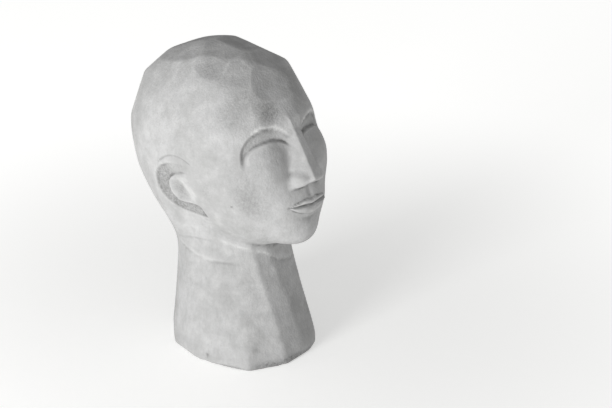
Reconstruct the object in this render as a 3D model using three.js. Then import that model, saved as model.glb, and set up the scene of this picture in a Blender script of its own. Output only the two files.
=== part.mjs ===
// A plaster head on a flaring neck, life size, cast solid in one piece.
// Millimetres, +Z up, face towards -Y, so the subject's right side is -X. The underside rests on Z = 0.
//
// The form is one signed function of space: a rounded skull trimmed by flat knife facets, a jaw, cheeks,
// a wedge nose, carved eye sockets, lips and low-relief ears, joined to a neck cut in long upright strips.
// Its surface is found along rays from inside, so the result is one closed body.
import * as THREE from 'three';

const RAD = Math.PI / 180;

// Head frame: origin inside the skull, leaning back by LEAN about X
const HEAD = { y: 9.7, z: 215.0, lean: 14.0 };

// Skull: centre, half sizes and squareness in the head frame
const SKULL = { c: [0, 17.0, 19.0], r: [78.5, 105.5, 100.0], p: 2.3 };

// Knife facets of the crown: azimuth and elevation of each flat in degrees, how deep it is cut, edge softness
const FACETS = [
  [-10.2, 9.1, 2.5, 3.0], [-42.4, 17.7, 2.5, 3.0], [-68.2, 20.0, 2.7, 5.0], [-110.7, 21.7, 3.1, 5.0],
  [-89.2, 10.9, 2.8, 6.0], [-104, -6, 2.0, 5.0], [-90.0, 35.4, 3.6, 3.5], [-36.0, 39.4, 2.7, 2.0],
  [-58.0, 47.5, 2.9, 1.1], [-5.9, 28.5, 3.7, 0.9], [26.1, 21.6, 2.7, 1.5], [-90.5, 67.2, 3.1, 1.0],
  [-34.6, 70.3, 3.4, 1.6], [13.6, 47.0, 3.1, 1.5], [19.4, 71.1, 4.0, 0.9], [-133, 29, 4.0, 1.5],
  [-143, 59, 2.5, 1.5], [-165, 81, 1.8, 1.5], [58, 54, 5.0, 1.5], [49, 18, 3.5, 2.0], [-142, 3, 2.6, 3.0],
  [-170, 38, 3.0, 1.5], [-170, 12, 2.8, 1.5], [-165, -14, 2.6, 2.0], [-135, -22, 2.4, 3.0],
  [165, 62, 2.6, 1.5], [102, 66, 2.8, 1.5], [150, 38, 2.8, 1.5], [118, 42, 2.6, 1.5], [88, 38, 2.8, 1.5],
  [165, 8, 3.0, 1.5], [140, 14, 2.4, 1.5], [113, 18, 2.6, 2.0], [84, 14, 2.4, 3.0], [142, -14, 2.6, 3.0],
  [114, -8, 2.2, 3.0], [168, -32, 2.8, 3.0], [88, -8, 1.6, 4.0], [-172, -40, 2.4, 3.0],
];

// Heights of the features in the head frame: eyes half way down the head, three equal parts below the hairline
const EYE = 8.0;
const BROW = 33.0;
const NOSE_BASE = -31.0;
const MOUTH = -53.0;

// Masses of the lower face: centre, half sizes and how softly each one joins
const JAW = { c: [0, -29, -34], r: [61, 60, 64], soft: 22 };
const CHIN = { c: [0, -65, -79], r: [23, 21, 18], soft: 14 };
const MUZZLE = { c: [0, -62, -50], r: [36, 31, 27], soft: 16 };
const CHEEK = { c: [30, -47, -14], r: [31, 33, 28], soft: 18 };
const WING = { c: [11.5, -93, NOSE_BASE + 6], r: [7, 11, 7], soft: 4 };

// Nose: a straight wedge with a flat ridge
const NOSE = { topY: -89.5, tipY: -112.5, ridge: 4.2, spread: 3.0, slope: 0.42, slopeMore: 0.16, back: -55 };

// Blank eyes, on the face unrolled from its middle: centre and half width of the brow arch and of the lid
const BROW_ARCH = { s: 33.0, wide: 31.0 };
const LID = { s: 32.0, wide: 26.0, tall: 13.5 };

// Low-relief ear on the side of the head: its origin and tilt back, then its outline in its own coordinates
const EAR = { y: 14.0, z: -20.0, tilt: 24.0, middle: [-7.2, -6.6], shear: 0.45, wide: 34.9, tall: 37.2 };
// Half-moon radius, depth of the trough and of the dish, and radius of the faint line above them
const EAR_CARVING = { moon: 15.2, deep: 5.4, dish: 4.2, arc: 35.7 };

// Neck: centre and half sizes at the foot and at the throat, and the height of the throat
const FOOT = { y: 4.5, rx: 75.0, ry: 80.0 };
const THROAT = { y: 23.0, rx: 53.6, ry: 59.0, z: 153.0 };
const NECK_TOP = 193;
const FLARE = 1.4;
const SWING = 1.5;
// Corners between the neck's strips: azimuth at foot and throat, how far each stands out there, softness
const NECK_EDGES = [
  [-12, -33, 2.2, 4.4, 1.2], [8.5, -19, 1.2, 3.0, 1.5], [33, 18, 2.6, 1.8, 2.5], [60, 52, 0.5, 0.5, 5],
  [84, 80, 0.5, 0.5, 6], [110, 108, 1.0, 0.5, 6], [136, 136, 2.0, 0.8, 6], [162, 162, 1.0, 0.4, 6],
  [188, 188, 2.4, 0.8, 6], [214, 213, 3.0, 0.4, 6], [240, 240, 2.6, 0.6, 8], [264, 266, 0, 0, 8],
  [294, 292, -0.5, 0, 6], [318, 316, 4.6, 0.3, 3.5],
];
// Flats that trim the foot: azimuth and elevation of each one, its reach from the foot's middle
const FOOT_TRIMS = [
  [-137, -17, 74], [-100, -15, 71.5], [-72, -12, 73], [5, 1, 79], [25, 2, 79.3], [43, 7, 77], [110, -12, 74],
  [170, -12, 81],
];
const TRIM_SOFT = 2;
// Shallow rings scored round the side of the throat, highest or lowest at one azimuth
const RING_TURN = -60;
const RINGS = [
  { z: 114, rise: 18, deep: 0.3, end: -64 },
  { z: 125, rise: -16, deep: 0.25, end: -38 },
];
// Line where the soft throat under the jaw ends over the strips: height in front, rise per degree, stand-out, sag
const FOLD = { z: 117, rise: 0.28, out: 0.6, sagAt: 22, sagWide: 20, sag: 26 };

// How the head joins the neck: a crisp crease under the jaw, a broad sweep at the nape
const JOIN = { crease: 4, nape: 34, from: -10, to: 60 };

// Rays that find the surface, and the number of columns and rows of facets
const COLUMNS = 84;
const ROWS = 58;
const SPLIT = 0.62;
const LOW = 30 * RAD;
const SLIDE = 28;

function larger(a, b, k) {
  const h = Math.max(k - Math.abs(a - b), 0) / k;
  return Math.max(a, b) + (h * h * k) / 4;
}

function smaller(a, b, k) {
  return -larger(-a, -b, k);
}

function clamp(x, lo = 0, hi = 1) {
  return Math.min(Math.max(x, lo), hi);
}

function step(a, b, x) {
  const t = clamp((x - a) / (b - a));
  return t * t * (3 - 2 * t);
}

function bell(x, w) {
  return Math.exp(-((x / w) ** 2));
}

function ellipsoid([x, y, z], { c, r }) {
  const q = [(x - c[0]) / r[0], (y - c[1]) / r[1], (z - c[2]) / r[2]];
  const k0 = Math.hypot(...q) + 1e-9;
  const k1 = Math.hypot(q[0] / r[0], q[1] / r[1], q[2] / r[2]) + 1e-9;
  return (k0 * (k0 - 1)) / k1;
}

// Distance to the rounded, slightly squared skull
function skull([x, y, z]) {
  const { c, r, p } = SKULL;
  const q = [x - c[0], y - c[1], z - c[2]].map((v, i) => Math.abs(v) / r[i] + 1e-9);
  const n = (q[0] ** p + q[1] ** p + q[2] ** p) ** (1 / p);
  const g = Math.hypot(...q.map((v, i) => v ** (p - 1) / r[i])) / n ** (p - 1);
  return (n - 1) / g;
}

// How far the skull reaches in the direction n
function reach(n) {
  const k = SKULL.p / (SKULL.p - 1);
  return n.reduce((sum, v, i) => sum + (Math.abs(v) * SKULL.r[i]) ** k, 0) ** (1 / k);
}

const KNIFE = FACETS.map(([azimuth, elevation, cut, soft]) => {
  const a = azimuth * RAD;
  const e = elevation * RAD;
  const n = [Math.sin(a) * Math.cos(e), -Math.cos(a) * Math.cos(e), Math.sin(e)];
  return { n, d: reach(n) - cut, soft };
});

function cranium(point) {
  const c = SKULL.c;
  return KNIFE.reduce((f, { n, d, soft }) => {
    const flat = n[0] * (point[0] - c[0]) + n[1] * (point[1] - c[1]) + n[2] * (point[2] - c[2]) - d;
    return larger(f, flat, soft);
  }, skull(point));
}

function nose(m, y, z) {
  const fall = BROW - NOSE_BASE - 4;
  const run = NOSE.tipY - NOSE.topY;
  const long = Math.hypot(run, fall);
  const ridge = (-fall * (y - NOSE.topY) - run * (z - BROW)) / long;
  const down = clamp((BROW - z) / (BROW - NOSE_BASE));
  const half = NOSE.ridge + NOSE.spread * down ** 1.5;
  const slope = NOSE.slope + NOSE.slopeMore * down;
  const side = (m - half - slope * Math.max(-ridge, 0)) / Math.hypot(1, slope);
  const base = -0.3 * (y + 101) - 0.954 * (z - NOSE_BASE);
  let f = larger(ridge, side, 1.2);
  f = larger(f, base, 4);
  f = larger(f, z - BROW - 6, 14);
  return larger(f, y - NOSE.back, 3);
}

// Depth carved round the eye: a recess beside the nose and a crescent that deepens from brow edge to lid
function socket(s, z) {
  const low = EYE - 4;
  const tall = BROW - low;
  const up = Math.max(z - low, 0);
  const brow = (1 - Math.hypot((s - BROW_ARCH.s) / BROW_ARCH.wide, up / tall)) * tall;
  const lid = (Math.hypot((s - LID.s) / LID.wide, up / LID.tall) - 1) * LID.tall;
  const inner = step(46, 10, s);
  const recess = (1.2 + 3.8 * inner) * step(0, 16, brow) * step(-44, 0, z) * step(64, 44, s);
  const across = clamp(brow / (Math.max(brow, 0) + Math.max(lid, 0) + 0.01));
  const band = 1.7 * step(0, 3.2, brow) + (1.6 + 0.8 * inner) * across ** 1.3 * step(0, 2, brow);
  const crescent = band * step(-1.6, 1.2, lid) * step(-9, 3, z - low);
  const away = ((s - LID.s) / 29) ** 2 + ((z - EYE + 8) / 27) ** 2;
  return recess + crescent - 3.8 * clamp(1 - away) ** 1.5;
}

// Closed lips, the hollow below them and the channel above
function lips(x, z) {
  const u = Math.abs(x) / 25;
  const line = MOUTH + 1.2 * u * u - 0.9 * bell(u, 0.2);
  const top = line + 7.6 * clamp(1 - u) ** 0.75 - 1.7 * bell(u, 0.17);
  const low = line - 9.6 * clamp(1 - u * u) ** 0.8;
  const inside = step(1.05, 0.86, u);
  const tu = clamp((z - line) / Math.max(top - line, 0.5));
  const tl = clamp((line - z) / Math.max(line - low, 0.5));
  const upper = z > line ? 2.7 * clamp(4 * tu * (1 - tu)) ** 0.7 : 0;
  const lower = z > line ? 0 : 3.9 * clamp(4 * tl * (1 - tl)) ** 0.7;
  const groove = 1.5 * bell(z - line, 1.2) * step(1.12, 0.95, u);
  const under = 2.0 * bell(Math.hypot((z - low + 4.5) / 4.5, x / 16), 1);
  const channel = 1.3 * bell(x, 3.2) * step(top + 1, top + 4, z) * step(NOSE_BASE + 2, NOSE_BASE - 3, z);
  return groove + under + channel - (upper + lower) * inside * (1 - 0.3 * u);
}

// Millimetres outside the ear's half-moon and the cheek in front of the lobe
function island(u, v) {
  const back = Math.hypot(Math.max(u - 0.5, 0), v) - EAR_CARVING.moon;
  const under = (0.75 * (u - 9) - 12.4 - v) / 1.25;
  const before = (u + 8.5 + 0.285 * (v + 25.5)) / 1.04;
  const lobe = smaller(under, before, 2) + 30 * step(-8, 1, v);
  const top = (v - 14.3 - 0.1 * u + 0.0107 * Math.min(u, 0) ** 2) / 1.05;
  return larger(smaller(back, lobe, 3), top, 2);
}

// Depth of the ear's carving: a C-shaped trough that slopes down to a dished half-moon and narrows to the lobe
function ear(y, z) {
  const a = EAR.tilt * RAD;
  const u = (y - EAR.y) * Math.cos(a) - (z - EAR.z) * Math.sin(a);
  const v = (y - EAR.y) * Math.sin(a) + (z - EAR.z) * Math.cos(a);
  const up = v - EAR.middle[1];
  const outline = Math.hypot((u - EAR.middle[0] - EAR.shear * up) / EAR.wide, up / EAR.tall);
  const outside = island(u, v);
  const turn = (Math.atan2(v, -u) / RAD + 360) % 360;
  const front = (0.35 + 0.65 * step(60, 105, turn)) * step(10, 45, turn) * step(335, 310, turn);
  const across = Math.max((1.02 - outline) * EAR.wide, 0);
  const slope = 0.2 + (0.8 * across) / (across + Math.max(outside, 0) + 0.5);
  const trough = EAR_CARVING.deep * step(1.04, 0.97, outline) * step(-0.3, 2.2, outside) * front * slope;
  const fall = smaller(Math.max((-1.2 - outside) / 13, 0), 1, 0.3);
  const dish = EAR_CARVING.dish * fall * step(-18.5, -7.5, u) * step(-26, -17, v);
  const rim = 0.2 * bell(outline - 1.09, 0.05) * step(-18, 0, u);
  const arc = 0.45 * bell(Math.hypot(u, v) - EAR_CARVING.arc, 1.1) * step(10, 16, v) * step(12, 6, u);
  return trough + dish - rim + arc;
}

function head(x, y, z) {
  const m = Math.abs(x);
  let f = cranium([x, y, z]);
  for (const mass of [JAW, CHIN, MUZZLE, CHEEK]) {
    f = smaller(f, ellipsoid([m, y, z], mass), mass.soft);
  }
  const s = Math.atan2(m, -(y + 8)) * 80;
  f += socket(s, z) * step(120, 95, s) * step(10, -10, y);
  f += lips(x, z) * step(-60, -75, y);
  f += ear(y, z) * step(35, 50, m);
  f = smaller(f, nose(m, y, z), 2 + 14 * step(16, 36, z));
  return smaller(f, ellipsoid([m, y, z], WING), WING.soft);
}

function neck(x, y, z) {
  const t = clamp(z / THROAT.z, 0, 1.25);
  const flare = (1 - Math.min(t, 1)) ** FLARE;
  const cy = FOOT.y + (THROAT.y - FOOT.y) * t;
  const rx = THROAT.rx + (FOOT.rx - THROAT.rx) * flare;
  const ry = THROAT.ry + (FOOT.ry - THROAT.ry) * flare;
  const corners = NECK_EDGES.map(([foot, throat, low, high, soft]) => {
    const a = (foot + (throat - foot) * Math.min(t, 1) ** SWING) * RAD;
    const out = high + (low - high) * flare ** 1.5;
    const r = 1.012 / Math.hypot(Math.sin(a) / rx, Math.cos(a) / ry) + out;
    return { x: r * Math.sin(a), y: -r * Math.cos(a), soft };
  });
  let f = z - NECK_TOP;
  corners.forEach((p, i) => {
    const q = corners[(i + 1) % corners.length];
    const ex = q.x - p.x;
    const ey = q.y - p.y;
    const strip = (ey * (x - p.x) - ex * (y - cy - p.y)) / Math.hypot(ex, ey);
    f = larger(f, strip, 0.4 * (p.soft + q.soft));
  });
  for (const [azimuth, elevation, reachOut] of FOOT_TRIMS) {
    const a = azimuth * RAD;
    const e = elevation * RAD;
    const along = Math.sin(a) * x - Math.cos(a) * (y - FOOT.y) - reachOut;
    f = larger(f, along * Math.cos(e) + z * Math.sin(e), TRIM_SOFT);
  }
  const az = Math.atan2(x, -(y - cy)) / RAD;
  const left = 0.6 * step(60, 90, az) * step(150, 120, az);
  const rings = RINGS.reduce((sum, g) => {
    const right = step(-150, -110, az) * step(g.end + 8, g.end - 8, az);
    return sum + (right + left) * g.deep * bell(z - g.z - g.rise * Math.cos((az - RING_TURN) * RAD), 2);
  }, 0);
  const above = z - FOLD.z - FOLD.rise * Math.abs(az) + FOLD.sag * bell(az - FOLD.sagAt, FOLD.sagWide);
  const out = FOLD.out * (1 + 1.2 * bell(az - 12, 22));
  const fold = out * step(-1.5, 4.5, above) * step(40, 16, above) * step(66, 46, Math.abs(az));
  return 0.97 * f + rings - fold;
}

// The whole piece: negative inside, positive outside
function bust(x, y, z) {
  const a = HEAD.lean * RAD;
  const dy = y - HEAD.y;
  const dz = z - HEAD.z;
  const skin = head(x, dy * Math.cos(a) - dz * Math.sin(a), dy * Math.sin(a) + dz * Math.cos(a));
  const join = JOIN.crease + JOIN.nape * step(JOIN.from, JOIN.to, y);
  return Math.max(smaller(skin, neck(x, y, z), join), -z);
}

// A ray for each height parameter v from 0 at the crown to 1 at the foot
function ray(azimuth, v) {
  const u = clamp(v / SPLIT);
  const s = clamp((v - SPLIT) / (1 - SPLIT));
  const e = v < SPLIT ? Math.PI / 2 - (Math.PI / 2 + LOW) * u : -Math.atan(Math.tan(LOW) * (1 - s));
  const y = HEAD.y + (FOOT.y - HEAD.y) * s;
  const z = (HEAD.z + SLIDE - 2 * SLIDE * u) * (1 - s);
  return [y, z, Math.sin(azimuth) * Math.cos(e), -Math.cos(azimuth) * Math.cos(e), Math.sin(e)];
}

function surface(azimuth, v) {
  const [y, z, dx, dy, dz] = ray(azimuth, v);
  const at = (t) => bust(dx * t, y + dy * t, z + dz * t);
  let hi = 24;
  while (at(hi) <= 0) hi += 4;
  let lo = hi - 4;
  for (let i = 0; i < 14; i += 1) {
    const mid = (lo + hi) / 2;
    if (at(mid) > 0) hi = mid;
    else lo = mid;
  }
  const t = (lo + hi) / 2;
  return new THREE.Vector3(dx * t, y + dy * t, z + dz * t);
}

// Values where the running sum passes n equal shares, so that they lie closer where the sum grows faster
function share(values, sum, shares) {
  let k = 0;
  return shares.map((f) => {
    const goal = f * sum[sum.length - 1];
    while (k < sum.length - 2 && sum[k + 1] < goal) k += 1;
    const part = (goal - sum[k]) / (sum[k + 1] - sum[k]);
    return values[k] + (values[k + 1] - values[k]) * part;
  });
}

// Azimuths round the head, closest over the face and the ears
function columnAngles() {
  const n = 2000;
  const values = Array.from({ length: n + 1 }, (_, i) => -Math.PI + (2 * Math.PI * i) / n);
  const weight = values.map((a) => {
    const d = Math.abs(a) / RAD;
    return 1 + 2.0 * Math.exp(-((d / 52) ** 4)) + 0.6 * bell(d - 95, 22);
  });
  const sum = [0];
  for (let i = 1; i <= n; i += 1) sum.push(sum[i - 1] + (weight[i] + weight[i - 1]) / 2);
  return share(values, sum, Array.from({ length: COLUMNS }, (_, i) => i / COLUMNS));
}

// Height parameters, spaced by length along the front and the side, closest over the face
function rowHeights() {
  const n = 400;
  const values = Array.from({ length: n + 1 }, (_, i) => i / n);
  const front = values.map((v) => surface(0, v));
  const side = values.map((v) => surface(-1.2, v));
  const sum = [0];
  for (let i = 1; i <= n; i += 1) {
    const z = (front[i].z + front[i - 1].z) / 2;
    const face = 1 + 1.3 * step(123, 143, z) * (1 - step(248, 268, z));
    const length = front[i].distanceTo(front[i - 1]) + 0.5 * side[i].distanceTo(side[i - 1]);
    sum.push(sum[i - 1] + length * face);
  }
  return share(values, sum, Array.from({ length: ROWS }, (_, i) => (i + 1) / ROWS));
}

function bustGeometry() {
  const columns = columnAngles();
  const rows = rowHeights();
  const points = rows.flatMap((v) => columns.map((a) => surface(a, v)));
  points.slice(-COLUMNS).forEach((p) => p.setZ(0));
  const crown = points.push(surface(0, 0)) - 1;
  const under = points.push(new THREE.Vector3(0, FOOT.y, 0)) - 1;
  const index = [];
  for (let c = 0; c < COLUMNS; c += 1) {
    const next = (c + 1) % COLUMNS;
    index.push(crown, c, next);
    for (let r = 0; r + 1 < ROWS; r += 1) {
      const a = r * COLUMNS + c;
      const b = r * COLUMNS + next;
      index.push(a, a + COLUMNS, b + COLUMNS);
      index.push(a, b + COLUMNS, b);
    }
    index.push(under, (ROWS - 1) * COLUMNS + next, (ROWS - 1) * COLUMNS + c);
  }
  const geometry = new THREE.BufferGeometry().setFromPoints(points);
  geometry.setIndex(index);
  geometry.computeVertexNormals();
  return geometry;
}

const plaster = new THREE.MeshStandardMaterial({ color: 0xb8b8b6, roughness: 0.92, metalness: 0 });

const plasterHead = new THREE.Mesh(bustGeometry(), plaster);
plasterHead.name = 'plaster_head';

const part = new THREE.Group();
part.name = 'plaster_head_study';
part.add(plasterHead);

export default part;
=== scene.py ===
"""A life-size plaster head on a flaring, hand-cut neck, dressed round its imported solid.

The head is one function of space, in millimetres: a rounded skull trimmed by knife facets, a lower face,
a wedge nose, carved sockets, lips and low-relief ears on a neck of long strips. Rays from inside find its
surface. Geometry Nodes then give that surface the hand finish that repeats all over it.

Distances are in millimetres and below 0 inside. A Span says where a smooth change starts and where it ends.
"""
from __future__ import annotations

import logging
import math
from dataclasses import dataclass, field
from enum import Enum
from typing import Any, Callable, Iterator

import bpy
import numpy as np
from mathutils import Matrix, Vector

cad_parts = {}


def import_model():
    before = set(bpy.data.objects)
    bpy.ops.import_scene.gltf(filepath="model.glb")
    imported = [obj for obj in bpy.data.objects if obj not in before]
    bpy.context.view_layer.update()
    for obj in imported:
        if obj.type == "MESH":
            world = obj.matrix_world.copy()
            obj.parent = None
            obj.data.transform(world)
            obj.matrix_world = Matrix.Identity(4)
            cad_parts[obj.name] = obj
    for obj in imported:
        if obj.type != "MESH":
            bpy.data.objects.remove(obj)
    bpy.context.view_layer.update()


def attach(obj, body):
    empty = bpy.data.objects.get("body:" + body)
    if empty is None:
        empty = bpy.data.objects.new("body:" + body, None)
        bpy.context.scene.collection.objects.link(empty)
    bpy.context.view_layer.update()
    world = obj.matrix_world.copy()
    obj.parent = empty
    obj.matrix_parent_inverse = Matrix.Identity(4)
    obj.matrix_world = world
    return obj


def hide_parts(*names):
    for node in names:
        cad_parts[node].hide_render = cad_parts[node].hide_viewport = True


LOG = logging.getLogger("plaster_head")
Field = np.ndarray
Pair = tuple[float, float]
Span = tuple[float, float]
Triple = tuple[float, float, float]
Shape = Callable[[Field, Field, Field], Field]
Faces = list[tuple[int, ...]]
Tree = bpy.types.NodeTree
Socket = bpy.types.NodeSocket

MM = 0.001
# Keeps a divisor, or the base of a power, away from nought
TINY = 1e-9
NODE = "plaster_head"
BODY = "root"

# Tones of old plaster: rubbed pale by hands, darkened by handling, and dust caught in the carving; the pale
# tone is also laid as painted light and the dark one as painted shade
WIPED_AND_LIT = "#d6d6d5"
SMUDGED = "#9c9c9b"
GRIME_AND_SHADE = "#6b6b6a"


def larger(a: Field, b: Field, soft: float | Field) -> Field:
    """Return the larger of two distances, with the edge between them rounded.

    Args:
        a: First distance.
        b: Second distance.
        soft: Width of the rounding in millimetres.

    Returns:
        The rounded maximum.
    """
    h = np.maximum(soft - np.abs(a - b), 0) / soft
    return np.maximum(a, b) + h * h * soft / 4


def smaller(a: Field, b: Field, soft: float | Field) -> Field:
    """Return the rounded minimum of two distances: the two shapes joined."""
    return -larger(-a, -b, soft)


def step(start: float | Field, end: float | Field, x: Field) -> Field:
    """Return 0 before start, 1 after end and a smooth rise between; start may lie after end."""
    t = np.clip((x - start) / (end - start), 0, 1)
    return t * t * (3 - 2 * t)


def bell(x: Field, width: float) -> Field:
    """Return a bell of height 1 at 0 that falls to 1/e at the given width."""
    return np.exp(-((x / width) ** 2))


def direction(azimuth: float, elevation: float) -> Triple:
    """Return the unit direction at an azimuth, in degrees from -Y, and an elevation in degrees."""
    a, e = math.radians(azimuth), math.radians(elevation)
    return math.sin(a) * math.cos(e), -math.cos(a) * math.cos(e), math.sin(e)


def leaned(y: Field, z: Field, angle: float) -> tuple[Field, Field]:
    """Return y and z in a frame that leans back by an angle in degrees."""
    a = math.radians(angle)
    return y * math.cos(a) - z * math.sin(a), y * math.sin(a) + z * math.cos(a)


@dataclass(frozen=True)
class Mass:
    """A soft mass of the lower face: an ellipsoid and how broadly it joins what is there."""

    centre: Triple
    radii: Triple
    soft: float

    def distance(self, m: Field, y: Field, z: Field) -> Field:
        """Return the distance to the ellipsoid.

        Args:
            m: Distance of each point from the middle plane.
            y: Depth of each point.
            z: Height of each point.

        Returns:
            The distance at each point.
        """
        q = [(v - c) / r for v, c, r in zip((m, y, z), self.centre, self.radii)]
        k0 = np.sqrt(sum(v * v for v in q)) + TINY
        k1 = np.sqrt(sum((v / r) ** 2 for v, r in zip(q, self.radii))) + TINY
        return k0 * (k0 - 1) / k1


@dataclass(frozen=True)
class Skull:
    """The cranium: a rounded, slightly squared oval with flat knife facets.

    Each facet is the azimuth and elevation of its normal in degrees, the depth it is cut and the softness
    of its edges. Edges no softer than crisp wear pale, over a width of wear and a depth of wear_deep.
    """

    centre: Triple = (0.0, 17.0, 19.0)
    radii: Triple = (78.5, 105.5, 100.0)
    squareness: float = 2.3
    crisp: float = 2.2
    wear: float = 0.45
    wear_deep: float = 1.2
    facets: tuple[tuple[float, float, float, float], ...] = (
        (-10.2, 9.1, 2.5, 3.0), (-42.4, 17.7, 2.5, 3.0), (-68.2, 20.0, 2.7, 5.0), (-110.7, 21.7, 3.1, 5.0),
        (-89.2, 10.9, 2.8, 6.0), (-104, -6, 2.0, 5.0), (-90.0, 35.4, 3.6, 3.5), (-36.0, 39.4, 2.7, 2.0),
        (-58.0, 47.5, 2.9, 1.1), (-5.9, 28.5, 3.7, 0.9), (26.1, 21.6, 2.7, 1.5), (-90.5, 67.2, 3.1, 1.0),
        (-34.6, 70.3, 3.4, 1.6), (13.6, 47.0, 3.1, 1.5), (19.4, 71.1, 4.0, 0.9),
        (-133, 29, 4.0, 1.5), (-143, 59, 2.5, 1.5), (-165, 81, 1.8, 1.5), (58, 54, 5.0, 1.5),
        (49, 18, 3.5, 2.0), (-142, 3, 2.6, 3.0), (-170, 38, 3.0, 1.5), (-170, 12, 2.8, 1.5),
        (-165, -14, 2.6, 2.0), (-135, -22, 2.4, 3.0), (165, 62, 2.6, 1.5), (102, 66, 2.8, 1.5),
        (150, 38, 2.8, 1.5), (118, 42, 2.6, 1.5), (88, 38, 2.8, 1.5), (165, 8, 3.0, 1.5),
        (140, 14, 2.4, 1.5), (113, 18, 2.6, 2.0), (84, 14, 2.4, 3.0), (142, -14, 2.6, 3.0),
        (114, -8, 2.2, 3.0), (168, -32, 2.8, 3.0), (88, -8, 1.6, 4.0), (-172, -40, 2.4, 3.0),
    )

    def reach(self, normal: Triple) -> float:
        """Return how far the untrimmed skull reaches in the direction of normal."""
        k = self.squareness / (self.squareness - 1)
        return sum((abs(n) * r) ** k for n, r in zip(normal, self.radii)) ** (1 / k)

    def _offset(self, x: Field, y: Field, z: Field) -> list[Field]:
        """Return the place of each point from the skull's centre."""
        return [v - c for v, c in zip((x, y, z), self.centre)]

    def _untrimmed(self, offset: list[Field]) -> Field:
        """Return the distance to the skull before its facets are cut.

        Args:
            offset: Place of each point from the skull's centre.

        Returns:
            The distance at each point.
        """
        p = self.squareness
        q = [np.abs(v) / r + TINY for v, r in zip(offset, self.radii)]
        n = sum(v**p for v in q) ** (1 / p)
        slope = np.sqrt(sum((v ** (p - 1) / r) ** 2 for v, r in zip(q, self.radii))) / n ** (p - 1)
        return (n - 1) / slope

    def _flats(self, offset: list[Field]) -> Iterator[tuple[Field, float]]:
        """Yield the knife facets one by one.

        Args:
            offset: Place of each point from the skull's centre.

        Yields:
            The distance of each point to the facet's plane, and the softness of its edges.
        """
        for azimuth, elevation, cut, soft in self.facets:
            normal = direction(azimuth, elevation)
            yield sum(c * v for c, v in zip(normal, offset)) - self.reach(normal) + cut, soft

    def distance(self, x: Field, y: Field, z: Field) -> Field:
        """Return the distance to the trimmed skull.

        Args:
            x: Place of each point across the head.
            y: Depth of each point in the head's frame.
            z: Height of each point in the head's frame.

        Returns:
            The distance at each point.
        """
        offset = self._offset(x, y, z)
        f = self._untrimmed(offset)
        for flat, soft in self._flats(offset):
            f = larger(f, flat, soft)
        return f

    def edges(self, x: Field, y: Field, z: Field) -> Field:
        """Return where the crisp edges between facets wear pale.

        Args:
            x: Place of each point across the head.
            y: Depth of each point in the head's frame.
            z: Height of each point in the head's frame.

        Returns:
            1 on the crisp edges, and less beside them and off the skull.
        """
        offset = self._offset(x, y, z)
        f = self._untrimmed(offset)
        crisp = []
        for flat, soft in self._flats(offset):
            if soft > self.crisp:
                f = larger(f, flat, soft)
            else:
                crisp.append(flat)
        below, top = np.sort(np.stack([f, *crisp]), axis=0)[-2:]
        return bell(top - below, self.wear) * bell(top, self.wear_deep)


@dataclass(frozen=True)
class Heights:
    """Heights of the features in the head's frame: eyes half way down, equal parts below the brow."""

    eye: float = 8.0
    brow: float = 33.0
    nose_base: float = -31.0
    mouth: float = -53.0


@dataclass(frozen=True)
class Nose:
    """A straight wedge with a flat ridge that widens towards its base."""

    at: Heights = Heights()
    top_y: float = -89.5
    tip_y: float = -112.5
    tip_rise: float = 4.0
    ridge: float = 4.2
    spread: float = 3.0
    widening: float = 1.5
    slope: float = 0.42
    more_slope: float = 0.16
    base_y: float = -101.0
    base_turn: Pair = (0.30, 0.954)
    top_rise: float = 6.0
    back: float = -55.0
    ridge_soft: float = 1.2
    base_soft: float = 4.0
    top_soft: float = 14.0
    back_soft: float = 3.0

    def distance(self, m: Field, y: Field, z: Field) -> Field:
        """Return the distance to the wedge.

        Args:
            m: Distance of each point from the middle plane.
            y: Depth of each point in the head's frame.
            z: Height of each point in the head's frame.

        Returns:
            The distance at each point.
        """
        tall = self.at.brow - self.at.nose_base
        fall = tall - self.tip_rise
        run = self.tip_y - self.top_y
        ridge = (-fall * (y - self.top_y) - run * (z - self.at.brow)) / math.hypot(run, fall)
        down = np.clip((self.at.brow - z) / tall, 0, 1)
        half = self.ridge + self.spread * down**self.widening
        slope = self.slope + self.more_slope * down
        side = (m - half - slope * np.maximum(-ridge, 0)) / np.hypot(1, slope)
        base = -self.base_turn[0] * (y - self.base_y) - self.base_turn[1] * (z - self.at.nose_base)
        f = larger(ridge, side, self.ridge_soft)
        f = larger(f, base, self.base_soft)
        f = larger(f, z - self.at.brow - self.top_rise, self.top_soft)
        return larger(f, y - self.back, self.back_soft)


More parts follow.
